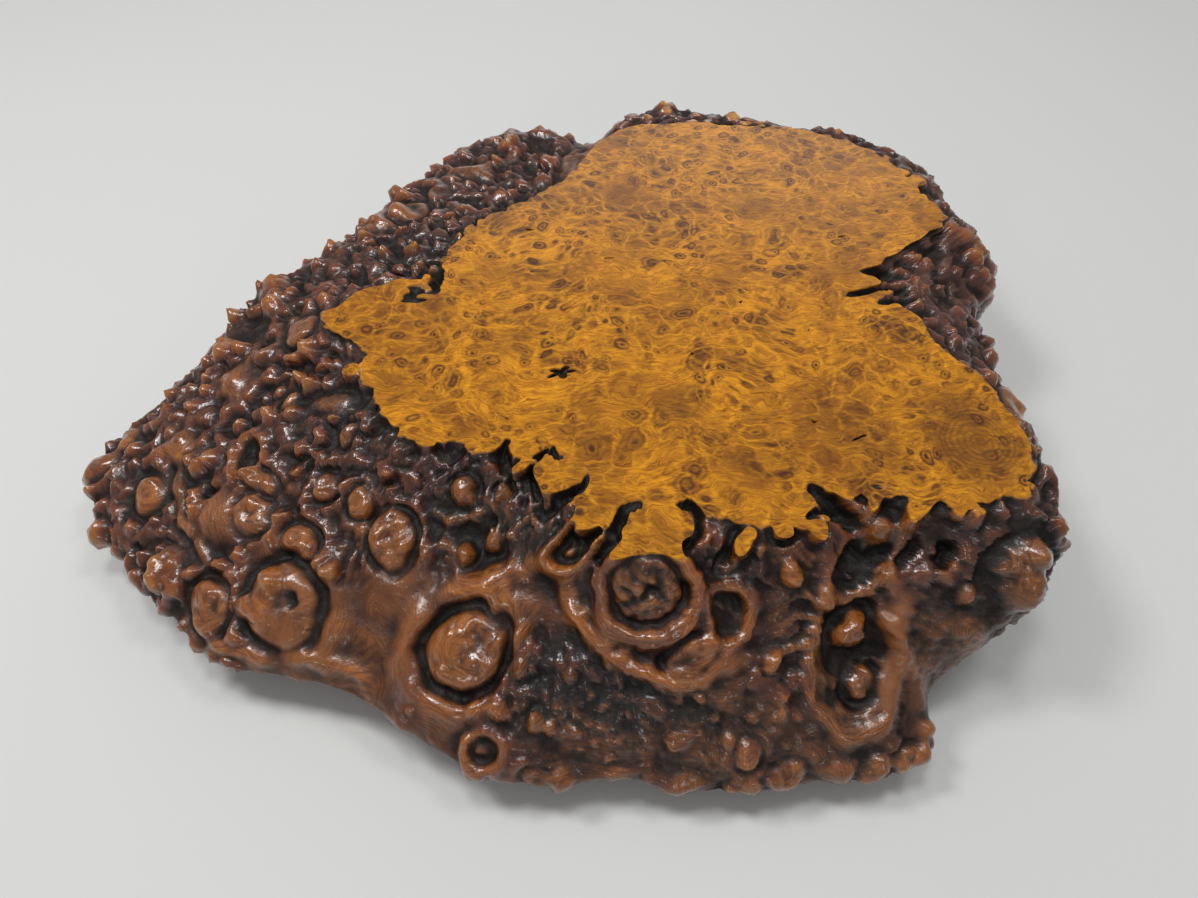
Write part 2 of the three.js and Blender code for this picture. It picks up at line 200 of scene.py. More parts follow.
# kind, bearing, down, half width, half height, rise, turn in degrees, amber share
forms = [
    ("greatEye", 247.7, 0.66, 17, 18.5, 9, 0, 0.45), ("crater", 264, 0.16, 9, 12, 6.5, 0, 0.3),
    ("ring", 275.5, 0.23, 16, 17, 6, 0, 0.2), ("boss", 282, 0.49, 11.5, 7.5, 4.5, -25, 0.4),
    ("dish", 288, 0.35, 10, 11, 4, 0, 0.1), ("boss", 228.3, 0.41, 11, 13.5, 7, 0, 0.3),
    ("boss", 221.3, 0.71, 21, 15, 6.5, -40, 0.3), ("pit", 222.4, 0.7, 5, 3, 3, 60, 0),
    ("knob", 218, 0.66, 6, 5, 5, 0, 0.5), ("knob", 217.5, 0.75, 5.5, 5, 5, 0, 0.5),
    ("boss", 213.8, 0.82, 13, 11, 6, -30, 0.3), ("nipple", 213.7, 0.83, 3, 3, 2.5, 0, 0.2),
    ("swell", 207, 0.84, 15, 11, 8, -30, 0.4), ("boss", 216, 0.51, 13, 7, 5, -30, 0.3),
    ("boss", 207.5, 0.53, 11, 8, 6, -30, 0.3), ("dish", 197.5, 0.43, 10, 9, 5.5, 0, 0.5),
    ("boss", 203, 0.45, 12, 6, 6, -35, 0.6), ("pit", 200.5, 0.6, 3.5, 3.5, 4, 0, 0),
    ("boss", 176.5, 0.15, 13, 10, 5, 10, 0.3), ("swell", 175.5, 0.5, 10, 14, 8, 0, 0.5),
    ("boss", 188.5, 0.9, 8, 15, 6, 0, 0.8), ("knob", 184.5, 0.82, 6, 9, 6, 0, 0.4),
    ("knob", 186.7, 0.79, 5, 8, 5, 0, 0.4), ("boss", 212, 0.32, 8, 7, 6, 0, 0.2),
    ("boss", 219, 0.31, 8, 7, 6, -20, 0.3), ("knob", 206.5, 0.16, 6, 6, 6, 0, 0.2),
    ("knob", 191, 0.27, 6, 6, 5, 0, 0.3), ("knob", 188, 0.3, 5, 6, 5, 0, 0.3),
    ("boss", 195.5, 0.74, 13, 9, 5, -20, 0.2), ("hollow", 304, 0.57, 19, 27, 6, 0, 0),
    ("knob", 304.5, 0.49, 10, 9, 13, 20, 1), ("boss", 303, 0.66, 8, 7, 8, 0, 0.5),
    ("knob", 293, 0.54, 5.5, 5.5, 6, 0, 0.4), ("knob", 295.7, 0.52, 4, 4, 4.5, 0, 0.3),
    ("knob", 297.6, 0.52, 3.5, 3.5, 4, 0, 0.3), ("knob", 297, 0.58, 3, 3, 3, 0, 0.2),
    ("boss", 286.7, 0.81, 6.5, 6, 5, 0, 0.4), ("knob", 284.5, 0.77, 3, 3, 3, 0, 0.3),
    ("nipple", 288, 0.7, 3, 3, 2.5, 0, 0.4), ("nipple", 291, 0.7, 3.5, 3, 3, 0, 0.5),
    ("nipple", 293.5, 0.73, 3, 3, 2.5, 0, 0.4), ("boss", 278.5, 0.79, 5, 5, 3.5, 0, 0.2),
    ("knob", 259.5, 0.76, 5, 6, 5, 0, 0.3), ("knob", 261.7, 0.77, 3.2, 4, 4, 0, 0.3),
    ("dish", 254.5, 0.89, 8, 7, 4, 0, 0.2), ("nipple", 252, 0.87, 3, 3, 3, 0, 0.7),
    ("nipple", 244, 0.88, 3, 3, 2.5, 0, 0.7), ("knob", 254.6, 0.76, 4, 5, 5, 0, 0.3),
    ("knob", 255.6, 0.56, 3, 6, 4, 20, 0.3), ("nipple", 243.4, 0.77, 2.4, 2.4, 3, 0, 0.5),
    ("knob", 251.6, 0.78, 3, 4.5, 4, -30, 0.6), ("knob", 257, 0.63, 3, 5, 3.5, 0, 0.2),
    ("knob", 264.5, 0.63, 4, 4, 4, 0, 0.2), ("knob", 241.5, 0.37, 5, 6, 7, 0, 1),
    ("knob", 246, 0.3, 4.5, 6.5, 7, 0, 1), ("hollow", 243.5, 0.33, 14, 15, 3, 0, 0),
    ("knob", 235.5, 0.2, 6.5, 6.5, 7, 0, 0.4), ("boss", 243, 0.17, 5, 5, 5, 0, 0.3),
    ("swell", 331, 0.4, 20, 20, 5, 0, 0.3), ("knob", 324.2, 0.36, 15, 17, 9, 0, 0.05),
    ("knob", 323, 0.27, 6, 6, 4, 0, 0.15), ("knob", 326.5, 0.3, 7, 8, 4, 0, 0.1),
    ("knob", 323.6, 0.44, 8, 8, 3.5, 0, 0.15), ("knob", 333, 0.43, 7, 8, 3.5, 0, 0.1),
    ("knob", 318, 0.39, 5, 5, 5, 0, 0.4), ("knob", 299, 0.22, 6, 6, 6, 0, 0.2),
    ("knob", 292, 0.14, 5, 6, 6, 0, 0.3), ("knob", 295, 0.12, 3, 3.5, 4, 0, 0.2),
    ("stud", 293.5, 0.085, 4.5, 4.5, 10, 0, 0.3), ("stud", 300.5, 0.05, 4.5, 4, 9, 0, 0.3),
    ("stud", 303.5, 0.05, 3, 3, 8, 0, 0.3), ("stud", 305.5, 0.085, 4, 4, 11, 0, 0.3),
    ("stud", 307.5, 0.07, 3.5, 3, 10, 0, 0.3), ("stud", 316, 0.055, 5, 4, 10, 0, 0.3),
    ("stud", 319.5, 0.06, 6, 6, 10, 0, 0.3), ("stud", 323.5, 0.05, 5, 3.5, 9, 0, 0.3),
    ("stud", 256, 0, 9.5, 9, 4, 0, 0.2), ("stud", 247.5, 0.045, 3.5, 8, 7, 10, 0.2),
    ("stud", 266.5, 0.05, 6, 5, 7, 0, 0.2), ("knob", 314.5, 0.16, 6, 7, 7, 0, 0.4),
    ("hollow", 310, 0.25, 15, 11, 6, 0, 0), ("pit", 315.8, 0.23, 5, 4, 8, 0, 0),
    ("pit", 318.4, 0.25, 5, 4.5, 9, 0, 0), ("boss", 300, 0.94, 9, 6, 3.5, 0, 0.1),
    ("boss", 303.5, 0.94, 7, 6, 4, 0, 0.2), ("nipple", 305.6, 0.96, 6, 5, 5, 0, 0.6),
    ("nipple", 308, 0.9, 6, 6, 4, 0, 0.5), ("boss", 261, 0.95, 7, 5, 2.6, 0, 0.3),
    ("swell", 264.3, 0.95, 8, 6, 3, 0, 0.3), ("swell", 279, 0.96, 12, 6, 2.6, 0, 0.2),
    ("boss", 285.5, 0.95, 10, 5, 2.6, 0, 0.1), ("boss", 290.8, 0.93, 9, 6, 3, 10, 0.1),
    ("swell", 296, 0.96, 8, 6, 3, 0, 0.2), ("swell", 271, 0.97, 8, 5, 2.5, 0, 0.2),
    ("swell", 164, 0.46, 16, 16, 7, 0, 0.4), ("swell", 80, 0.34, 14, 12, 4, 0, 0.2),
    ("swell", 88, 0.34, 14, 12, 4, 0, 0.2), ("swell", 110, 0.42, 24, 20, 4, 0, 0.2),
    ("swell", 20, 0.42, 26, 24, 6, 0, 0.2), ("boss", 26, 0.5, 12, 10, 5, 0, 0.3),
    ("boss", 136, 0.4, 12, 10, 5, 0, 0.3), ("boss", 66, 0.5, 11, 10, 5, 0, 0.3),
    ("boss", 352, 0.5, 13, 10, 5, 0, 0.3), ("dish", 40, 0.62, 12, 11, 5, 0, 0.2),
    ("boss", 120, 0.7, 15, 12, 6, 0, 0.3), ("dish", 150, 0.66, 12, 12, 5, 0, 0.2),
    ("pit", 168, -0.19, 8, 5, 6, 0, 0), ("pit", 159, -0.04, 7, 5, 8, 0, 0),
    ("knob", 157, 0.03, 4, 4, 7, 0, 0.4), ("knob", 151, 0.06, 4, 3.5, 6, 0, 0.3),
    ("knob", 183.5, 0.04, 5, 2.4, 4, 0, 0.4), ("knob", 185.5, 0.08, 5, 2.4, 4, 0, 0.4),
    ("knob", 187, 0.13, 5, 2.4, 4, 0, 0.4), ("knob", 190, 0.17, 5, 3, 4, 0, 0.3),
    ("knob", 186, 0.2, 5, 3, 4, 0, 0.3), ("swell", 182.5, 0.41, 17, 15, 6, 0, 0.4),
    ("swell", 204.5, 0.61, 17, 13, 5, -30, 0.3), ("swell", 190, 0.6, 13, 17, 5, 0, 0.4),
    ("swell", 141.5, 0.46, 17, 15, 6, 0, 0.3), ("swell", 118.5, 0.34, 18, 15, 5, 0, 0.3),
    ("nipple", 205.5, 0.57, 2.6, 2.6, 2.4, 0, 0.3), ("nipple", 203.5, 0.65, 2.2, 2.2, 2, 0, 0.3),
]
# path of bearing, down; half width; rise (crevices are negative); copies side by side, degrees apart; amber
ridges = [
    ([(260.5, 0.26), (263.5, 0.4), (268.5, 0.51), (275, 0.575), (281, 0.58), (286.5, 0.52)],
     6.5, 6, 1, 0, 0.9),
    ([(248, 0.5), (251.5, 0.54), (253.2, 0.62), (253.2, 0.71)], 2.3, 4, 1, 0, 0.5),
    ([(200.5, 0.69), (204, 0.7), (208.5, 0.72)], 5, 5, 1, 0, 0.5),
    ([(192, 0.6), (197, 0.66), (201, 0.7)], 5, 4, 1, 0, 0.3),
    ([(298, 0.03), (301, 0.2), (305, 0.34), (309, 0.45), (311.5, 0.6)], 2, 2, 5, 1.7, 0.1),
    ([(294, 0.4), (297, 0.34), (300.5, 0.33), (303, 0.38)], 2.2, 3, 1, 0, 0.2),
    ([(293.5, 0.46), (296.5, 0.41), (299.5, 0.4), (301.5, 0.44)], 2.2, 3, 1, 0, 0.2),
    ([(297, 0.48), (299.5, 0.46), (301, 0.5)], 2, 2.5, 1, 0, 0.2),
    ([(308.8, 0.42), (310.2, 0.55), (309, 0.68)], 5, 3.5, 1, 0, 0.3),
    ([(213, 0.1), (219, 0.26), (224, 0.42), (226.5, 0.6)], 1.9, 2, 3, 1.5, 0.2),
    ([(216, 0.9), (226, 0.9), (235, 0.88)], 5, 2.5, 1, 0, 0.3),
    ([(243, 0.46), (250, 0.42), (256, 0.33)], 9, 3.5, 1, 0, 0.6),
    ([(231, 0.28), (236, 0.3), (240, 0.26), (243, 0.28)], 3, 3, 1, 0, 0.2),
    ([(252, 0.02), (254, 0.15), (252, 0.32)], 1.9, 2.2, 5, 1.7, 0),
    ([(256, -0.09), (252.5, -0.11), (249.5, -0.06), (250, 0.03), (252, 0.09), (253, 0.16)],
     2.5, -7, 1, 0, 0),
    ([(259.5, -0.12), (262.8, -0.11), (262, -0.04), (258.5, 0.06), (255, 0.15)], 3, -7, 1, 0, 0),
    ([(276.5, -0.19), (273.3, -0.11), (271, -0.03), (269.7, 0.05), (268.6, 0.14)], 2.9, -11, 1, 0, 0),
    ([(284, -0.1), (287.5, -0.05), (286.8, 0.02), (283.5, 0.06)], 2.8, -7, 1, 0, 0),
    ([(238, -0.05), (240, 0.02), (243, 0.08)], 3, -6, 1, 0, 0),
    ([(309.5, -0.06), (311, 0.04), (312, 0.14)], 3.4, -7, 1, 0, 0),
    ([(166, -0.16), (163, -0.1), (160, -0.04)], 2, -7, 1, 0, 0),
    ([(8, -0.06), (9, 0.05), (10, 0.14)], 3, -7, 1, 0, 0),
    ([(13, -0.12), (12.5, 0), (13, 0.14)], 2.6, -8, 1, 0, 0),
    ([(18.5, -0.05), (17.5, 0.04), (17, 0.12)], 3, -7, 1, 0, 0),
    ([(334, 0.03), (346, 0.07), (0, 0.14)], 2.5, 2.5, 3, 1.6, 0.1),
    ([(336, 0.5), (345, 0.56), (356, 0.5)], 3, 3, 3, 2.5, 0.2),
    ([(99, 0.06), (94, 0.3), (90, 0.5)], 3, 2, 3, 3, 0.1),
]
# smooth wood with no buds: bearing, down, radius, strength, and 1 where its grain runs down instead of round
bareWood = [
    (232, 0.8, 34, 1, 1), (236, 0.62, 18, 1, 1), (268, 0.82, 26, 1, 0), (283, 0.8, 30, 1, 0),
    (296, 0.82, 26, 0.9, 0), (314, 0.7, 34, 1, 1), (254, 0.46, 18, 0.8, 0), (93, 0.35, 15, 0.9, 1),
    (248, 0.88, 18, 0.8, 0), (224, 0.88, 16, 0.7, 0), (175, 0.17, 15, 0.8, 0), (182.5, 0.41, 14, 0.85, 0),
    (204.5, 0.61, 15, 0.9, 0), (190, 0.6, 13, 0.8, 0), (214, 0.62, 10, 0.8, 0), (172.5, 0.43, 13, 0.7, 0),
    (196, 0.66, 10, 0.7, 0), (219.5, 0.38, 10, 0.7, 0), (208, 0.42, 9, 0.7, 0), (141.5, 0.46, 15, 0.7, 0),
    (118.5, 0.34, 16, 0.7, 0), (100, 0.6, 14, 0.7, 1), (60, 0.4, 14, 0.7, 0), (30, 0.36, 14, 0.7, 0),
    (350, 0.3, 13, 0.7, 0), (340, 0.62, 14, 0.7, 0)]
# hollows with scattered beads, and patches darkened by dark residue and painted shade, broad ones over the
# front: bearing, down, radius, strength
beadWood = [
    (262, 0.62, 20, 1), (271, 0.68, 18, 1), (280, 0.69, 16, 1), (256, 0.74, 16, 1), (268, 0.78, 20, 1),
    (277, 0.74, 14, 0.7), (247, 0.14, 24, 1), (293, 0.7, 22, 0.7), (304, 0.58, 16, 0.8),
    (310, 0.27, 14, 1), (236, 0.14, 18, 0.8)]
soot = [
    (247, 0.12, 28, 1), (236, 0.14, 24, 0.9), (257, 0.12, 22, 1), (310, 0.26, 18, 1), (321, 0.22, 14, 1),
    (263, 0.66, 24, 1), (272, 0.72, 22, 1), (256, 0.68, 16, 0.8), (281, 0.7, 16, 0.8),
    (290, 0.22, 16, 0.8), (300, 0.5, 26, 0.7), (315, 0.12, 24, 0.8), (12, 0.05, 24, 0.9),
    (205, 0.16, 34, 0.6), (150, 0.12, 40, 0.6), (233, 0.32, 22, 0.6), (268, 0.84, 30, 0.55),
    (284, 0.84, 34, 0.6), (298, 0.84, 30, 0.55), (315, 0.66, 36, 0.6), (318, 0.4, 30, 0.7),
    (325, 0.36, 28, 1)]
# how far the bark side steps down beyond the saw line: bearing, millimetres
edgeStep = [
    (0, 6), (10, 4), (40, 4), (75, 5), (95, 8), (110, 10), (130, 9), (160, 7), (180, 4), (205, 4),
    (230, 4), (250, 2), (270, 0), (300, 2), (330, 3), (342, 6)]
# height of the buds round the flank: bearing, millimetres
budField = [
    (10, 6), (60, 6), (110, 7), (150, 8), (200, 7.5), (220, 6), (238, 4.5), (262, 3.5), (285, 3.5),
    (305, 3.5), (318, 5), (335, 6)]
surface = dict(  # sizes in mm
    flankLength=110, warps=((26, 1.7), (9, 0.35)), bend=0.24, bendSizes=(11, 14), knurls=((7, 1), (4, 0.7)),
    grainHold=0.45, downPull=3, ringPull=2.2, ringLeast=6, drift=3, driftSize=34, undulation=0.9,
    undulationSize=22, wrinkleStep=5.2, wrinkle=0.16, foldDrift=1.5, foldSize=13, fadeSize=19, reachOut=4,
    standBlurs=((0.5, 6), (0.4, 30), (0.2, 140)), grainStretch=0.14)  # blurs as a weight and passes


def bodyGrid():
    start, end = burl["frontArc"]
    bearings = np.concatenate([
        np.linspace(start, end, burl["frontColumns"], endpoint=False),
        np.linspace(end, start + 360, burl["backColumns"], endpoint=False)])
    downs = np.concatenate([
        np.linspace(burl["crownReach"], 0, burl["crownRows"], endpoint=False),
        np.linspace(0, 1, burl["flankRows"], endpoint=False),
        1 + np.linspace(0, 1, burl["underRows"])])
    return np.meshgrid(bearings, downs)


def lumps(points, size, rng):  # an uneven field with lumps of about this size, mostly -1 to 1
    total = 0
    for _ in range(9):
        direction = unit(rng.normal(size=3))
        total = total + np.sin(points @ direction * (2 * math.pi / size) * rng.uniform(0.55, 1.5)
                               + rng.uniform(0, 2 * math.pi))
    return total / 3.4


def ovalPlace(points, form):  # sideways and downhill places in a form, and the distance out, 1 at its edge
    bearing, down, halfWidth, halfHeight, turn = form[1], form[2], form[3], form[4], math.radians(form[6])
    along, fall = tangents(bearing, down)
    offset = points - smoothPoint(bearing, down)
    side, hill = offset @ along, offset @ fall
    u = (math.cos(turn) * side + math.sin(turn) * hill) / halfWidth
    v = (math.cos(turn) * hill - math.sin(turn) * side) / halfHeight
    return u, v, np.hypot(u, v)


def foldedTop(u, v, count, rng):  # a few rounded lobes with creases between them
    angles = np.arange(count) * 2 * math.pi / count + rng.uniform(0, 2 * math.pi)
    angles = angles + rng.uniform(-0.4, 0.4, count)
    reach = rng.uniform(0.3, 0.62, count)
    gaps = np.stack([np.hypot(u - r * math.cos(a), v - r * math.sin(a)) for a, r in zip(angles, reach)])
    order = np.argsort(gaps, axis=0)
    first, second = (np.take_along_axis(gaps, order[i:i + 1], 0)[0] for i in (0, 1))
    crease = np.exp(-((second - first) / 0.15)**2)
    level = rng.uniform(-0.3, 0.15, count)[order[0]] * (1 - crease)
    return level - 0.34 * crease


def pathShare(points, path, halfWidth):  # distance out from a path, 1 at its edge, and how far along
    knots = np.arange(len(path))
    fine = np.linspace(0, len(path) - 1, 12 * (len(path) - 1) + 1)
    bearings = np.unwrap([b for b, d in path], period=360)
    trail = smoothPoint(hermite(knots, bearings, fine), hermite(knots, [d for b, d in path], fine))
    best, share = np.full(points.shape[:-1], 1e9), np.zeros(points.shape[:-1])
    for i, place in enumerate(trail):
        gap = np.linalg.norm(points - place, axis=-1)
        nearer = gap < best
        best[nearer] = gap[nearer]
        share[nearer] = i / (len(trail) - 1)
    return best / halfWidth, share


def patch(points, bearing, down, radius, strength):  # 1 in a round patch, fading at its edge
    gap = np.linalg.norm(points - smoothPoint(bearing, down), axis=-1) / radius
    return strength * (1 - smoothstep(0.55, 1.15, gap))


def carveForms(points, downs, bearings):
    rng = np.random.default_rng(burl["seed"])
    shape = points.shape[:-1]
    room = np.ones(shape)
    rise, amber, beads, sooty = (np.zeros(shape) for _ in range(4))
    # every outline is drawn on a slightly warped body, so that none is a true oval
    for size, reach in surface["warps"]:
        points = points + reach * np.stack([lumps(points, size, rng) for _ in range(3)], -1)
    # the grain follows this height map: it runs round the body, and in rings round the large forms
    hold = np.full(shape, surface["grainHold"])
    grain = hold * downs * surface["flankLength"]
    for bearing, down, radius, strength, runsDown in bareWood:
        share = patch(points, bearing, down, radius, strength)
        room *= 1 - share
        pull = surface["downPull"] * runsDown * share
        grain += pull * np.radians(bearings) * bellyRadius(bearings)
        hold += pull
    bend = [surface["bend"] * lumps(points, size, rng) for size in surface["bendSizes"]]
    knurl = sum(weight * lumps(points, size, rng) for size, weight in surface["knurls"])
    for form in forms:
        kind, halfWidth, halfHeight, height, worn = form[0], form[3], form[4], form[5], form[7]
        u, v, q = ovalPlace(points, form)
        spot = q < surface["reachOut"]
        u, v, q = u[spot], v[spot], q[spot]
        traits = kinds[kind]
        q = q + traits.get("ragged", 0) * knurl[spot]
        curve = np.array(traits["profile"])
        share = hermite(curve[:, 0], curve[:, 1], q) * (q < curve[-1, 0])
        # a groove is deepest on one side, and broken
        side = math.radians(traits.get("grooveSide", rng.uniform(0, 360)))
        deep = (0.5 + 0.5 * np.cos(np.arctan2(v, u) - side)) * np.clip(0.75 + 0.6 * knurl[spot], 0.1, 1.2)
        share = np.where((share < 0) & (q > 0.75), share * deep, share)
        if traits.get("lobes"):
            bent = (u + bend[0][spot], v + bend[1][spot])
            folded = foldedTop(*bent, traits["lobes"], rng) + traits["rough"] * knurl[spot]
            share += folded * (1 - smoothstep(0.6, 0.92, q))
        rise[spot] += height * share
        if kind != "swell":
            room[spot] *= smoothstep(0.9, 1.3, q)
            size = math.sqrt(halfWidth * halfHeight)
            pull = np.exp(-surface["ringPull"] * np.maximum(q - 1, 0)) * (size > surface["ringLeast"])
            grain[spot] += pull * q * size
            hold[spot] += pull
        amber[spot] = np.maximum(amber[spot], worn * (1 - smoothstep(0.7, 1.25, q)))
        # the middle of a hollow, pit or ring is darkened: dark residue and painted shade
        sooty[spot] = np.maximum(sooty[spot], traits.get("soot", 0) * (1 - smoothstep(0.5, 0.95, q)))
    for path, halfWidth, height, copies, apart, worn in ridges:
        for copy in range(copies):
            shift = (copy - (copies - 1) / 2) * apart
            q, share = pathShare(points, [(b + shift, d) for b, d in path], halfWidth)
            q = q + (0.2 if height < 0 else 0.1) * knurl
            taper = np.sqrt(np.sin(np.pi * np.clip(share, 0.06, 0.94)))
            wall = 1 - smoothstep(0.1, 1.15, q)
            if height < 0:  # a crevice, with a cord of bark along its floor
                wall = 1 - smoothstep(0.5, 1.1, q) - 0.35 * (1 - smoothstep(0, 0.55, q))
            rise += height * taper * wall
            room *= smoothstep(0.6, 1.5, q)
            amber = np.maximum(amber, worn * (1 - smoothstep(0.2, 1, q)))
            # a crevice is darkened by its depth: dark residue and painted shade
            if height < 0:
                sooty = np.maximum(sooty, min(1, -height / 6) * (1 - smoothstep(0.6, 1.6, q)))
    for row in beadWood:
        beads = np.maximum(beads, patch(points, *row))
    for row in soot:
        sooty = np.maximum(sooty, patch(points, *row))
    step = smoothstep(0, 0.05, downs) * (1 - smoothstep(0.3, 0.6, downs))
    rise -= roundCurve(edgeStep, 1)(bearings) * step
    grain = grain / hold + surface["drift"] * lumps(points, surface["driftSize"], rng)
    rise += surface["undulation"] * lumps(points, surface["undulationSize"], rng)
    wander = surface["foldDrift"] * lumps(points, surface["foldSize"], rng)
    folds = np.sin(2 * math.pi * grain / surface["wrinkleStep"] + wander)
    fade = 0.5 + 0.5 * lumps(points, surface["fadeSize"], rng)
    rise += surface["wrinkle"] * folds * fade * (1 - 0.5 * room)
    rise = blurred(rise, 1)
    underside = smoothstep(1, 1.25, downs)
    crown = 1 - smoothstep(-0.2, -0.02, downs)
    buds = roundCurve(budField, 1)(bearings) * room * (1 - underside) * (1 - 0.8 * crown)
    whole = smoothstep(-0.35, -0.3, downs) * (1 - underside)  # the crown's inner edge stays level
    return rise * whole, dict(buds=buds, beads=beads, amber=amber, sooty=sooty, room=room, grain=grain)


def gridFaces(rows, columns):
    index = np.arange(rows * columns).reshape(rows, columns)
    right = np.roll(index, -1, axis=1)
    return np.stack([index[:-1], index[1:], right[1:], right[:-1]], -1).reshape(-1, 4)


def store(mesh, name, values, kind="FLOAT"):
    layer = mesh.attributes.new(name, kind, "POINT")
    place = "vector" if kind == "FLOAT_VECTOR" else "value"
    layer.data.foreach_set(place, np.ravel(values).astype(np.float32))


bearings, downs = bodyGrid()
smooth = smoothPoint(bearings, downs)
along, fall = tangents(bearings, downs)
outward = unit(np.cross(fall, along))
rise, marks = carveForms(smooth, downs, bearings)
carved = smooth + outward * rise[..., None]

baseMesh = bpy.data.meshes.new("burlBody")
baseMesh.from_pydata((carved.reshape(-1, 3) * mm).tolist(), [], gridFaces(*bearings.shape).tolist())
store(baseMesh, "outward", outward, "FLOAT_VECTOR")
store(baseMesh, "budHeight", marks["buds"] * mm)
store(baseMesh, "budRoom", np.clip(marks["buds"] / 3, 0, 1))
store(baseMesh, "beadRoom", marks["beads"])
store(baseMesh, "wrinkle", (0.2 + 0.75 * marks["room"] + 1.5 * marks["sooty"])
      * smoothstep(-0.35, -0.3, downs) * (1 - smoothstep(1, 1.2, downs)))
body = bpy.data.objects.new("burl_slab_visual", baseMesh)
bpy.context.scene.collection.objects.link(body)
print("carved body", len(baseMesh.polygons), "faces")


# The buds: scatters of three sizes over the flank, each raising the wood round its points into domes, and
# sparse beads in the hollows. A dome's size, sharpness and lean are drawn for each point.
buds = dict(
    seed=5, crowding=3.0, stray=3.4, straySize=11.0, wrinkle=0.5, wrinkleSize=3.2, wrinkleGain=4.0,
    cordCell=24.0, cordWidth=3.6, cordHeight=0.5, cordClears=0.8,
    sizes=(0.45, 1.0), sizeSeed=3, sharpness=(0.45, 1.15), sharpSeed=7,
    leans=((-1.0, -1.0, -0.6), (1.0, 1.0, 1.4)), leanSeed=11,
    layers=[  # spacing in mm, reach as a share of it, height as a share of the field's, lean, room
        dict(name="Lump", spacing=19, reach=0.78, height=0.5, lean=0.2, room="budRoom"),
        dict(name="Bud", spacing=8.4, reach=0.76, height=0.66, lean=0.45, room="budRoom"),
        dict(name="Nub", spacing=4.0, reach=0.72, height=0.22, lean=0.4, room="budRoom"),
        dict(name="Bead", spacing=6.5, reach=0.45, height=2.8, lean=0.2, room="beadRoom")])


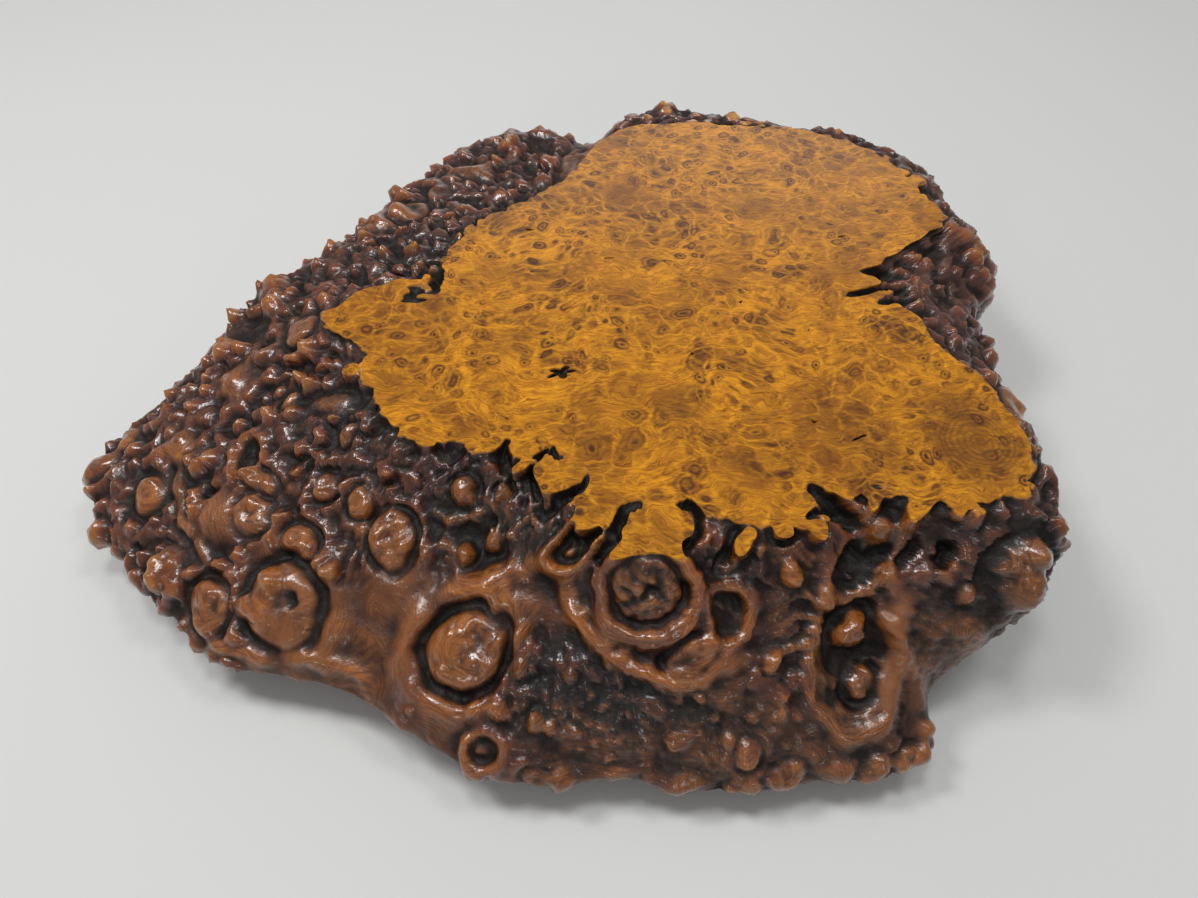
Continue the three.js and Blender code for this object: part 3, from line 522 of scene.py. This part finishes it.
def budTree():
    tree = bpy.data.node_groups.new("burlBuds", "GeometryNodeTree")
    add, socket = partial(addNode, tree), tree.interface.new_socket
    socket("Geometry", in_out="INPUT", socket_type="NodeSocketGeometry")
    wanted = [("Seed", "Int", buds["seed"]), ("Stray", "Float", buds["stray"] * mm),
              ("Wrinkle", "Float", buds["wrinkle"] * mm), ("Wood", "Material", budSkin)]
    for layer in buds["layers"]:
        wanted.append((layer["name"] + " Spacing", "Float", layer["spacing"] * mm))
        wanted.append((layer["name"] + " Height", "Float", layer["height"]))
    values = {socket(name, in_out="INPUT", socket_type="NodeSocket" + kind).identifier: value
              for name, kind, value in wanted}
    socket("Geometry", in_out="OUTPUT", socket_type="NodeSocketGeometry")
    start = tree.nodes.new("NodeGroupInput").outputs
    position = add("GeometryNodeInputPosition")
    field = add("GeometryNodeInputNamedAttribute", {"Name": "budHeight"}, data_type="FLOAT")
    outward = add("GeometryNodeInputNamedAttribute", {"Name": "outward"}, data_type="FLOAT_VECTOR")

    # a bud is only roughly round: the place that is measured strays by a soft noise
    soft = add("TexNoise", {"Vector": position, "Scale": 1 / (buds["straySize"] * mm), "Detail": 2.0},
               out="Color")
    centred = add("VectorMath", [soft, (0.5, 0.5, 0.5)], operation="SUBTRACT")
    wide = add("Math", [start["Stray"], 2.0], operation="MULTIPLY")
    shift = add("VectorMath", {0: centred, "Scale": wide}, operation="SCALE")
    strayed = add("VectorMath", [position, shift], operation="ADD")

    total, aside = 0.0, (0.0, 0.0, 0.0)
    for number, layer in enumerate(buds["layers"]):
        spacing = start[layer["name"] + " Spacing"]
        area = add("Math", [spacing, spacing], operation="MULTIPLY")
        density = add("Math", [buds["crowding"], area], operation="DIVIDE")
        room = add("GeometryNodeInputNamedAttribute", {"Name": layer["room"]}, data_type="FLOAT")
        seed = add("Math", [start["Seed"], float(number)], operation="ADD")
        points = add("GeometryNodeDistributePointsOnFaces", {
            "Mesh": start["Geometry"], "Distance Min": spacing, "Density Max": density,
            "Density Factor": room, "Seed": seed}, distribute_method="POISSON")
        nearest = add("GeometryNodeSampleNearest", [points, strayed])
        draws = ((*buds["sizes"], buds["sizeSeed"]), (*buds["sharpness"], buds["sharpSeed"]))
        size, sharp = (
            add("FunctionNodeRandomValue", {2: low, 3: high, "Seed": draw + number}, out=1,
                data_type="FLOAT") for low, high, draw in draws)
        lean = add("FunctionNodeRandomValue", {0: buds["leans"][0], 1: buds["leans"][1],
                                               "Seed": buds["leanSeed"] + number}, data_type="FLOAT_VECTOR")
        picked = ((position, "FLOAT_VECTOR"), (lean, "FLOAT_VECTOR"), (size, "FLOAT"), (sharp, "FLOAT"))
        middle, lean, size, sharp = (
            add("GeometryNodeSampleIndex", {"Geometry": points, "Value": value, "Index": nearest},
                data_type=kind) for value, kind in picked)
        gap = add("VectorMath", [strayed, middle], out="Value", operation="DISTANCE")
        full = add("Math", [spacing, layer["reach"]], operation="MULTIPLY")
        reach = add("Math", [full, size], operation="MULTIPLY")
        out = add("Math", [gap, reach], operation="DIVIDE")
        square = add("Math", [out, out], operation="MULTIPLY")
        inside = add("Math", [1.0, square], operation="SUBTRACT", use_clamp=True)
        dome = add("Math", [inside, sharp], operation="POWER")
        sized = add("Math", [dome, size], operation="MULTIPLY")
        scale = field
        if layer["room"] == "beadRoom":
            scale = add("Math", [room, mm], operation="MULTIPLY")
        high = add("Math", [scale, start[layer["name"] + " Height"]], operation="MULTIPLY")
        raised = add("Math", [sized, high], operation="MULTIPLY")
        total = add("Math", [raised, total], operation="ADD")
        # each bud leans its own way
        reached = add("Math", [raised, layer["lean"]], operation="MULTIPLY")
        tipped = add("VectorMath", {0: lean, "Scale": reached}, operation="SCALE")
        aside = add("VectorMath", [tipped, aside], operation="ADD")
    # cords of plain wood part the buds into groups
    walls = add("TexVoronoi", {"Vector": strayed, "Scale": 1 / (buds["cordCell"] * mm)},
                feature="DISTANCE_TO_EDGE")
    cord = add("MapRange", [walls, 0.0, buds["cordWidth"] / buds["cordCell"], 1.0, 0.0],
               interpolation_type="SMOOTHSTEP")
    parted = add("Math", [cord, -buds["cordClears"], 1.0], operation="MULTIPLY_ADD")
    total = add("Math", [total, parted], operation="MULTIPLY")
    aside = add("VectorMath", {0: aside, "Scale": parted}, operation="SCALE")
    cordRise = add("Math", [cord, buds["cordHeight"]], operation="MULTIPLY")
    total = add("Math", [cordRise, field, total], operation="MULTIPLY_ADD")
    # fine wrinkles all over the bark side, less on smooth wood
    ridged = add("TexNoise", {"Vector": strayed, "Scale": 1 / (buds["wrinkleSize"] * mm), "Detail": 3.0,
                              "Distortion": 0.6})
    level = add("Math", [ridged, 0.5], operation="SUBTRACT")
    grain = add("GeometryNodeInputNamedAttribute", {"Name": "wrinkle"}, data_type="FLOAT")
    amount = add("Math", [start["Wrinkle"], grain], operation="MULTIPLY")
    gained = add("Math", [amount, buds["wrinkleGain"]], operation="MULTIPLY")
    total = add("Math", [level, gained, total], operation="MULTIPLY_ADD")
    lift = add("VectorMath", {0: outward, "Scale": total}, operation="SCALE")
    offset = add("VectorMath", [lift, aside], operation="ADD")
    moved = add("GeometryNodeSetPosition", {"Geometry": start["Geometry"], "Offset": offset})
    real = add("GeometryNodeRealizeInstances", {"Geometry": moved})
    painted = add("GeometryNodeSetMaterial", {"Geometry": real, "Material": start["Wood"]})
    add("NodeGroupOutput", {"Geometry": painted})
    return tree, values


budSkin = bpy.data.materials.new("lacquered burl bud skin")
tree, values = budTree()
growth = body.modifiers.new("buds", "NODES")
growth.node_group = tree
for identifier, value in values.items():
    growth[identifier] = value
grown = bpy.data.meshes.new_from_object(body.evaluated_get(bpy.context.evaluated_depsgraph_get()))
body.modifiers.remove(growth)
print("buds grown on", len(grown.vertices), "points")


# How far each point stands above or below the wood round it, which the finish follows: its colour paints
# shade into the low places and highlight onto the high ones.
flat = np.empty(len(grown.vertices) * 3, np.float32)
grown.vertices.foreach_get("co", flat)
grownPoints = flat.reshape(bearings.shape + (3,)) / mm
relief = np.einsum("ijk,ijk->ij", grownPoints - smooth, outward)
cavity = sum(weight * (relief - blurred(relief, passes)) for weight, passes in surface["standBlurs"])
store(grown, "stand", cavity)
store(grown, "amber", marks["amber"])
store(grown, "sooty", marks["sooty"])
store(grown, "bare", 1 - marks["room"])
# the grain's own coordinates: across the grain in mm, and drawn out along it
stretch = surface["grainStretch"]
alongGrain = [smooth[..., 0] * stretch, (smooth[..., 1] + smooth[..., 2]) * stretch]
store(grown, "flow", np.stack([marks["grain"], *alongGrain], -1), "FLOAT_VECTOR")
print("stand from", round(float(cavity.min()), 2), "to", round(float(cavity.max()), 2))


# The two saw cuts, and the small dark inclusions that the top's cut opened
inclusions = [  # place in mm, half length, half width, turn, points of the star, depth
    (6, -40, 8, 4.5, 20, 5, 3), (134, -79, 4.5, 1.3, 25, 2, 2), (116, -70, 2.2, 1, 0, 3, 1.5),
    (66, -28, 2, 0.8, 70, 2, 1.5), (28, 42, 3, 0.9, 10, 2, 1.5), (92, 8, 1.6, 1, 40, 3, 1.5),
    (-14, 66, 4, 1.2, 160, 2, 2), (150, 60, 3, 1, 35, 2, 1.5)]


def openInclusion(bm, place, rng):
    x, y, halfLength, halfWidth, turn, points, depth = place
    turn, start = math.radians(turn), rng.uniform(0, 2 * math.pi)
    loops = []
    for share, drop in ((1, 0), (0.72, 0.7), (0.4, 1)):
        ring = []
        for angle in np.linspace(0, 2 * math.pi, 40, endpoint=False):
            reach = share * (0.45 + 0.55 * abs(math.cos(points * angle / 2 + start))**1.5)
            u, v = halfLength * reach * math.cos(angle), halfWidth * reach * math.sin(angle)
            ring.append(bm.verts.new(((x + u * math.cos(turn) - v * math.sin(turn)) * mm,
                                      (y + u * math.sin(turn) + v * math.cos(turn)) * mm,
                                      (burl["sawHeight"] - drop * depth * rng.uniform(0.9, 1)) * mm
                                      if drop else burl["sawHeight"] * mm)))
        loops.append(ring)
    for upper, lower in zip(loops, loops[1:]):
        for i in range(len(upper)):
            j = (i + 1) % len(upper)
            bm.faces.new((upper[i], lower[i], lower[j], upper[j]))
    bm.faces.new(loops[-1])
    deep = bm.verts.layers.float["stand"]
    for ring in loops:
        for vert in ring:
            vert[deep] = -4
    return [bm.edges.get((loops[0][i - 1], loops[0][i])) for i in range(len(loops[0]))]


def sawCut(bm, height, side, inner=()):
    cut = bmesh.ops.bisect_plane(bm, geom=bm.verts[:] + bm.edges[:] + bm.faces[:], dist=1e-7,
                                 plane_co=(0, 0, height), plane_no=(0, 0, side), clear_outer=True)
    edges = [e for e in cut["geom_cut"] if isinstance(e, bmesh.types.BMEdge)]
    rng = np.random.default_rng(burl["seed"])
    for place in inner:
        edges += openInclusion(bm, place, rng)
    filled = bmesh.ops.triangle_fill(bm, edges=edges, use_beauty=True, use_dissolve=False,
                                     normal=(0, 0, side))
    faces = [f for f in filled["geom"] if isinstance(f, bmesh.types.BMFace)]
    for edge in edges:
        edge.smooth = False
    for face in faces:
        face.smooth = False
        face.material_index = 1 if side > 0 else 2
        if face.normal.z * side < 0:
            face.normal_flip()
    return faces


def mend(bm):  # where folds cross at a saw cut, their faces are taken out and closed over
    for reach in range(6):
        faulty = {f for e in bm.edges if len(e.link_faces) != 2 for f in e.link_faces}
        if not faulty:
            break
        for _ in range(reach):
            faulty |= {f for face in list(faulty) for e in face.edges for f in e.link_faces}
        bmesh.ops.delete(bm, geom=list(faulty), context="FACES")
        bmesh.ops.delete(bm, geom=[v for v in bm.verts if not v.link_faces], context="VERTS")
        rims = [e for e in bm.edges if len(e.link_faces) == 1]
        closed = bmesh.ops.holes_fill(bm, edges=rims, sides=0)["faces"]
        for face in closed:
            level = {round(v.co.z / mm, 2) for v in face.verts}
            face.material_index = 1 if level == {burl["sawHeight"]} else 0
        bmesh.ops.triangulate(bm, faces=closed)


sawnTop = bpy.data.materials.new("lacquered sawn burl")
sawnFoot = bpy.data.materials.new("plain sawn burl")
for material in (budSkin, sawnTop, sawnFoot):
    baseMesh.materials.append(material)
bm = bmesh.new()
bm.from_mesh(grown)
for face in bm.faces:
    face.smooth = True
foot = sawCut(bm, 0, -1)
top = sawCut(bm, burl["sawHeight"] * mm, 1, inclusions)
loose = [v for v in bm.verts if not v.link_faces]
bmesh.ops.delete(bm, geom=loose, context="VERTS")
mend(bm)
bmesh.ops.recalc_face_normals(bm, faces=bm.faces[:])
openEdges = sum(1 for e in bm.edges if len(e.link_faces) != 2)
bm.to_mesh(baseMesh)
bm.free()
print("sawn:", len(top), "top faces,", len(foot), "foot faces,", openEdges, "open edges,",
      sum(len(p.vertices) - 2 for p in baseMesh.polygons), "triangles")

def openFinish(material):  # its tree, a way to add nodes to it, and the place on the slab in mm
    material.use_nodes = True
    add = partial(addNode, material.node_tree)
    inMm = add("VectorMath", {0: add("TexCoord", out="Object"), "Scale": 1 / mm}, operation="SCALE")
    return material.node_tree, add, inMm


# Bud skin: the burl's natural side, bark off, stained by age and lacquered. Knob tops are rubbed to a glossy
# red brown, amber where they are worn most, and the gaps hold black residue with grey dust; the colour by
# height also paints shade into the gaps and highlight onto the tops.
budFinish = dict(
    standSpan=(-3.2, 3.4),  # mm below and above the wood round it
    # the colour by height is partly painted light: near black in the gaps as painted shade, pale on the tops
    # as painted highlight, over the real dark residue and rubbed wood
    standStops=[(0, "#060403"), (0.2, "#100906"), (0.36, "#28120a"), (0.5, "#4a2110"), (0.66, "#6b3313"),
                (0.82, "#8c4a1a"), (1, "#a8682c")],
    smoothDark="#5c2a0f", smoothLight="#c27936", streakSpan=(0.3, 0.72),
    mottleSize=9, mottleShift=(0.36, -0.18), grainWidth=1.1, redSize=15,
    # coats over that, in their order: a tint, then what its share follows, each a field, the span of it and
    # the shares at the span's ends, multiplied
    coats=[
        ("smooth", [("bare", 0, 1, 0, 1), ("level", 0.34, 0.58, 0, 0.75)]),  # wood with no buds
        ("#a85c12", [("amber", 0, 1, 0, 1), ("share", 0.45, 0.85, 0, 1), ("mottle", 0.36, 0.6, 0.95, 0.35)]),
        ("#3a190c", [("wander", 0.45, 0.68, 0, 0.48)]),  # clouds of darker red
        ("#1f0f09", [("grain", 0.56, 0.36, 0, 0.12)]),  # streaks along the grain
        # near black in the dark patches, most in low places: dark residue and painted shade
        ("#100906", [("sooty", 0, 1, 0, 1), ("level", 0.62, 0.4, 0.35, 1)]),
        ("#4a443d", [("level", 0.56, 0.38, 0, 0.2), ("mottle", 0.42, 0.66, 0, 1)]),  # grey dust in the gaps, partly a painted sheen
        ("#b8771f", [("height", burl["sawHeight"] - 0.9, burl["sawHeight"] - 0.3, 0, 1)])],  # sanded golden wood at the cut, with a painted highlight along the edge
    roughness=(0.35, 0.65, 0.55, 0.22), lacquer=(0.3, 0.6, 0, 0.95),  # span of the share, and values there
    grainBump=0.35, bumps=((3.4, 1.2), (1.3, 0.8)), bump=0.55, satin=0.16, bumpDepth=0.7,
    ior=1.5, specular=0.3, coatRoughness=0.15)


def paintBudSkin(material):
    tree, add, inMm = openFinish(material)
    fields = {name: add("Attribute", out="Fac", attribute_name=name)
              for name in ("stand", "amber", "sooty", "bare")}
    fields["height"] = add("SeparateXYZ", [inMm], out="Z")
    fields["mottle"] = add("TexNoise", {"Vector": inMm, "Scale": 1 / budFinish["mottleSize"], "Detail": 4.0,
                                        "Roughness": 0.6})
    fields["wander"] = add("TexNoise", {"Vector": inMm, "Scale": 1 / budFinish["redSize"], "Detail": 3.0})
    flow = add("Attribute", out="Vector", attribute_name="flow")  # the grain as the carving left it
    fields["grain"] = add("TexNoise", {"Vector": flow, "Scale": 1 / budFinish["grainWidth"], "Detail": 3.0,
                                       "Roughness": 0.6, "Distortion": 0.3})
    fields["level"] = add("MapRange", [fields["stand"], *budFinish["standSpan"]])
    broken = add("Math", [fields["mottle"], *budFinish["mottleShift"]], operation="MULTIPLY_ADD")
    share = add("Math", [fields["level"], broken], operation="ADD", use_clamp=True)
    fields["share"] = share
    streak = add("MapRange", [fields["grain"], *budFinish["streakSpan"]])
    dark, light = linear(budFinish["smoothDark"]), linear(budFinish["smoothLight"])
    smoothWood = add("Mix", {0: streak, 6: dark, 7: light}, out=2, data_type="RGBA")
    # colour by height: painted shade in the gaps, painted highlight on the tops
    colour = add("ValToRGB", [share], stops=budFinish["standStops"])
    for tint, follows in budFinish["coats"]:
        amount = 1.0
        for field, *span in follows:
            part = add("MapRange", [fields[field], *span])
            amount = add("Math", [part, amount], operation="MULTIPLY")
        over = smoothWood if tint == "smooth" else linear(tint)
        colour = add("Mix", {0: amount, 6: colour, 7: over}, out=2, data_type="RGBA")
    # fine relief: grain, small lumps and pores; the lacquer fills most of it
    wave = add("Math", [fields["grain"], budFinish["grainBump"]], operation="MULTIPLY")
    for size, weight in budFinish["bumps"]:
        fine = add("TexNoise", {"Vector": inMm, "Scale": 1 / size, "Detail": 3.0})
        wave = add("Math", [fine, weight, wave], operation="MULTIPLY_ADD")
    depth = budFinish["bumpDepth"] * mm
    bump, satin = (add("Bump", {"Height": wave, "Strength": budFinish[name], "Distance": depth})
                   for name in ("bump", "satin"))
    wire(tree, tree.nodes["Principled BSDF"], {
        "Base Color": colour, "Normal": bump, "Coat Normal": satin,
        "Roughness": add("MapRange", [share, *budFinish["roughness"]]),
        "Coat Weight": add("MapRange", [share, *budFinish["lacquer"]]),
        "Coat Roughness": budFinish["coatRoughness"], "IOR": budFinish["ior"],
        "Specular IOR Level": budFinish["specular"]})


# Sawn burl: the level top, sanded and lacquered. Swirled golden fibre holds cut buds, brown and ringed
# inside with a dark pin, bright threads round them and a few wide ring eyes, under an even semi-gloss.
topFinish = dict(
    gold="#924e02", goldLight="#ec9e0c", brown="#613005", eyeBrown="#472003", speck="#331706",
    swirls=((46, 15), (11, 5), (3.6, 1.3)), eyeStray=0.55,  # sizes and reaches in mm
    fibreLong=7, fibreWide=1.2, fibreSpan=(0.34, 0.66),
    cloudSize=19, cloudSpan=(0.4, 0.66, 0, 0.6), broadSize=70, broadSpan=(0.42, 0.66, 0, 0.5),
    speckSize=1.5, speckSpan=(0.6, 0.7, 0, 0.75), clusterSize=34, clusterSpan=(0.4, 0.53),
    clusterShift=(61, 23),
    cells=[  # width of a cut bud in mm, depth of brown, step of its rings in mm, pin in its middle, thread
        dict(size=24, brown=0.68, ringStep=3.6, pin=0.5, thread=0.18),
        dict(size=13, brown=0.88, ringStep=2.8, pin=0.85, thread=0.5),
        dict(size=7, brown=0.88, ringStep=2.2, pin=0.8, thread=0.4)],
    # in a cell: fraying and unevenness by the fibre, spans of its inside, pin and rings, width of its thread
    fray=0.16, ringFray=1.8, insideSpan=(0.62, 0.46), pinSpan=(0.17, 0.07), ringSpan=(-1, 1, 0.25, 1),
    drawSpan=(0.1, 0.8), threadWidth=(1.1, 0.1), threadWear=(0.42, 0.58, 0.4, 1),
    wideEyes=[  # place in mm, radius, ring step, strength
        (185, -81, 29, 2.1, 0.6), (145, -81, 18, 2.2, 0.42), (58, -62, 15, 2.2, 0.4),
        (-20, -20, 15, 2.2, 0.38), (110, 90, 22, 2.4, 0.3)],
    eyeFray=8, eyeFaint=0.7, eyeFade=0.5,
    roughness=(0, 1, 0.24, 0.34), bump=0.2, bumpDepth=0.4, ior=1.5, specular=0.28,
    coat=0.35, coatRoughness=0.18)


def paintSawnTop(material):
    tree, add, inMm = openFinish(material)
    swirled, stages = inMm, []
    for size, reach in topFinish["swirls"]:
        drift = add("TexNoise", {"Vector": inMm, "Scale": 1 / size, "Detail": 2.0}, out="Color")
        centred = add("VectorMath", [drift, (0.5, 0.5, 0.5)], operation="SUBTRACT")
        shift = add("VectorMath", {0: centred, "Scale": 2.0 * reach}, operation="SCALE")
        swirled = add("VectorMath", [swirled, shift], operation="ADD")
        stages.append(swirled)
    # the cut buds stay rounder than the fibre: their places stray less
    eyeShift = add("VectorMath", [stages[1], stages[0]], operation="SUBTRACT")
    eyeStray = add("VectorMath", {0: eyeShift, "Scale": topFinish["eyeStray"]}, operation="SCALE")
    eyePlace = add("VectorMath", [stages[0], eyeStray], operation="ADD")
    # fibre: fine, drawn out along the slab's width and swirled
    drawnOut = add("VectorMath", [swirled, (1 / topFinish["fibreLong"], 1 / topFinish["fibreWide"], 0.0)],
                   operation="MULTIPLY")
    fibre = add("TexNoise", {"Vector": drawnOut, "Scale": 1.0, "Detail": 6.0, "Roughness": 0.65,
                             "Distortion": 1.2})
    cloud = add("TexNoise", {"Vector": swirled, "Scale": 1 / topFinish["cloudSize"], "Detail": 6.0,
                             "Roughness": 0.62})
    broad, specks = (add("TexNoise", {"Vector": stages[0], "Scale": 1 / topFinish[name], "Detail": 2.0})
                     for name in ("broadSize", "speckSize"))
    speck = add("MapRange", [specks, *topFinish["speckSpan"]])
    layers = [(add("MapRange", [cloud, *topFinish["cloudSpan"]]), "brown"),
              (add("MapRange", [broad, *topFinish["broadSpan"]]), "brown")]
    # cut buds, crowded in clusters, each size with its own
    across, up = topFinish["clusterShift"]
    for number, cell in enumerate(topFinish["cells"]):
        offset = add("VectorMath", [inMm, (across * number, up, 0.0)], operation="ADD")
        cluster = add("TexNoise", {"Vector": offset, "Scale": 1 / topFinish["clusterSize"], "Detail": 3.0,
                                   "Roughness": 0.55})
        crowd = add("MapRange", [cluster, *topFinish["clusterSpan"]])
        middle, border = (add("TexVoronoi", {"Vector": eyePlace, "Scale": 1 / cell["size"]}, feature=feature)
                          for feature in ("F1", "DISTANCE_TO_EDGE"))
        draw = add("SeparateColor", [middle.node.outputs["Color"]])
        depth = add("MapRange", [draw, *topFinish["drawSpan"], 0.0, cell["brown"]])
        frayed = add("Math", [fibre, topFinish["fray"], middle], operation="MULTIPLY_ADD")
        inside = add("MapRange", [frayed, *topFinish["insideSpan"]])
        turns = add("Math", [middle, 2 * math.pi * cell["size"] / cell["ringStep"]], operation="MULTIPLY")
        uneven = add("Math", [fibre, topFinish["ringFray"], turns], operation="MULTIPLY_ADD")
        rings = add("MapRange", [add("Math", [uneven], operation="SINE"), *topFinish["ringSpan"]])
        thread = add("MapRange", [border, *(width / cell["size"] for width in topFinish["threadWidth"]), 0.0,
                                  cell["thread"]])
        wear = add("MapRange", [fibre, *topFinish["threadWear"]])
        pin = add("MapRange", [middle, *topFinish["pinSpan"], 0.0, cell["pin"]])
        shares = []
        for share, *others in ((inside, depth, rings, crowd), (thread, wear, crowd), (pin, crowd)):
            for other in others:
                share = add("Math", [share, other], operation="MULTIPLY")
            shares.append(share)
        dots = add("Math", [speck, shares[0]], operation="MULTIPLY")
        layers += zip(shares + [dots], ("eyeBrown", "goldLight", "speck", "speck"))
    # wide ring eyes in their own places
    for x, y, radius, step, strength in topFinish["wideEyes"]:
        away = add("VectorMath", [stages[0], (x, y, burl["sawHeight"])], out="Value", operation="DISTANCE")
        turns = add("Math", [away, 2 * math.pi / step], operation="MULTIPLY")
        uneven = add("Math", [cloud, topFinish["eyeFray"], turns], operation="MULTIPLY_ADD")
        wave = add("Math", [uneven], operation="SINE")
        lines = add("MapRange", [wave, -1.0, 1.0, strength * topFinish["eyeFaint"], strength])
        fade = add("MapRange", [away, radius, radius * topFinish["eyeFade"]])
        layers.append((add("Math", [lines, fade], operation="MULTIPLY"), "eyeBrown"))
    fibreShare = add("MapRange", [fibre, *topFinish["fibreSpan"]])
    colour = linear(topFinish["gold"])
    for share, tint in [(fibreShare, "goldLight")] + layers:
        colour = add("Mix", {0: share, 6: colour, 7: linear(topFinish[tint])}, out=2, data_type="RGBA")
    depth = topFinish["bumpDepth"] * mm
    bump = add("Bump", {"Height": cloud, "Strength": topFinish["bump"], "Distance": depth})
    wire(tree, tree.nodes["Principled BSDF"], {
        "Base Color": colour, "Normal": bump, "Roughness": add("MapRange", [fibre, *topFinish["roughness"]]),
        "IOR": topFinish["ior"], "Specular IOR Level": topFinish["specular"],
        "Coat Weight": topFinish["coat"], "Coat Roughness": topFinish["coatRoughness"]})


# Foot: plain sawn burl, dry and unlacquered, with faint saw lines.
footFinish = dict(wood="#7a5230", dark="#563620", sawPitch=10.048, sawWander=1.5, blotchSize=30, bump=0.3,
                  bumpDepth=0.2, roughness=0.75)


def paintSawnFoot(material):
    tree, add, inMm = openFinish(material)
    blotch = add("TexNoise", {"Vector": inMm, "Scale": 1 / footFinish["blotchSize"], "Detail": 6.0})
    cuts = add("TexWave", {"Vector": inMm, "Scale": 1 / footFinish["sawPitch"],
                           "Distortion": footFinish["sawWander"]}, out="Fac")
    colour = add("Mix", {0: blotch, 6: linear(footFinish["wood"]), 7: linear(footFinish["dark"])}, out=2,
                 data_type="RGBA")
    depth = footFinish["bumpDepth"] * mm
    bump = add("Bump", {"Height": cuts, "Strength": footFinish["bump"], "Distance": depth})
    wire(tree, tree.nodes["Principled BSDF"], {
        "Base Color": colour, "Normal": bump, "Roughness": footFinish["roughness"]})


paintBudSkin(budSkin)
paintSawnTop(sawnTop)
paintSawnFoot(sawnFoot)
print("finishes painted")

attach(body, "root")
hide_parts("burl_slab")

# Floor, light and camera
studio = dict(
    floorColour="#d9d9d6", floorRoughness=0.7, floorReach=15, floorDrop=0.2, skyColour="#e6e9ec",
    skyPower=0.4, aim=(0, 0, 0.05),
    lamps=[  # name, place in metres, size, watts
        ("ceiling", (0, 0.1, 2.4), 2.2, 1), ("lamp above", (-0.1, 0, 1.8), 0.35, 6.6),
        ("lamp left", (-0.8, 0.15, 1.4), 0.35, 8.5), ("lamp right", (0.7, 0.1, 1.6), 0.35, 3.8),
        ("window left", (-0.45, -1.3, 0.6), 0.14, 0.9), ("window right", (0.5, -1.3, 0.75), 0.14, 0.6),
        ("back wall", (0.2, 2.2, 0.75), 1.6, 5.5)])
reach = studio["floorReach"]
floorMesh = bpy.data.meshes.new("floor")
floorMesh.from_pydata([(-reach, -reach, 0), (reach, -reach, 0), (reach, reach, 0), (-reach, reach, 0)], [],
                      [(0, 1, 2, 3)])
floor = bpy.data.objects.new("floor", floorMesh)
bpy.context.scene.collection.objects.link(floor)
paper = bpy.data.materials.new("pale matt paper")
paper.use_nodes = True
wire(paper.node_tree, paper.node_tree.nodes["Principled BSDF"], {
    "Base Color": linear(studio["floorColour"]), "Roughness": studio["floorRoughness"]})
floorMesh.materials.append(paper)
floor.location.z = -studio["floorDrop"] * mm  # just clear of the foot

world = bpy.context.scene.world or bpy.data.worlds.new("studio")
bpy.context.scene.world = world
world.use_nodes = True
wire(world.node_tree, world.node_tree.nodes["Background"], {
    "Color": linear(studio["skyColour"]), "Strength": studio["skyPower"]})
for name, place, size, power in studio["lamps"]:
    lamp = bpy.data.lights.new(name, "AREA")
    lamp.size, lamp.energy = size, power
    lampObject = bpy.data.objects.new(name, lamp)
    lampObject.location = place
    lampObject.rotation_euler = (Vector(studio["aim"]) - Vector(place)).to_track_quat("-Z", "Y").to_euler()
    bpy.context.scene.collection.objects.link(lampObject)
bpy.context.scene.view_settings.view_transform = "Standard"

view = dict(place=(0.023, -0.329, 0.382), tilt=40, sensor=36, lens=36 * 900 / 1198)
camera = bpy.data.objects.new("camera", bpy.data.cameras.new("camera"))
camera.data.sensor_width = view["sensor"]
camera.data.lens = view["lens"]
camera.location = view["place"]
camera.rotation_euler = (math.radians(view["tilt"]), 0, 0)
bpy.context.scene.collection.objects.link(camera)
bpy.context.scene.camera = camera
print("stage and camera set")
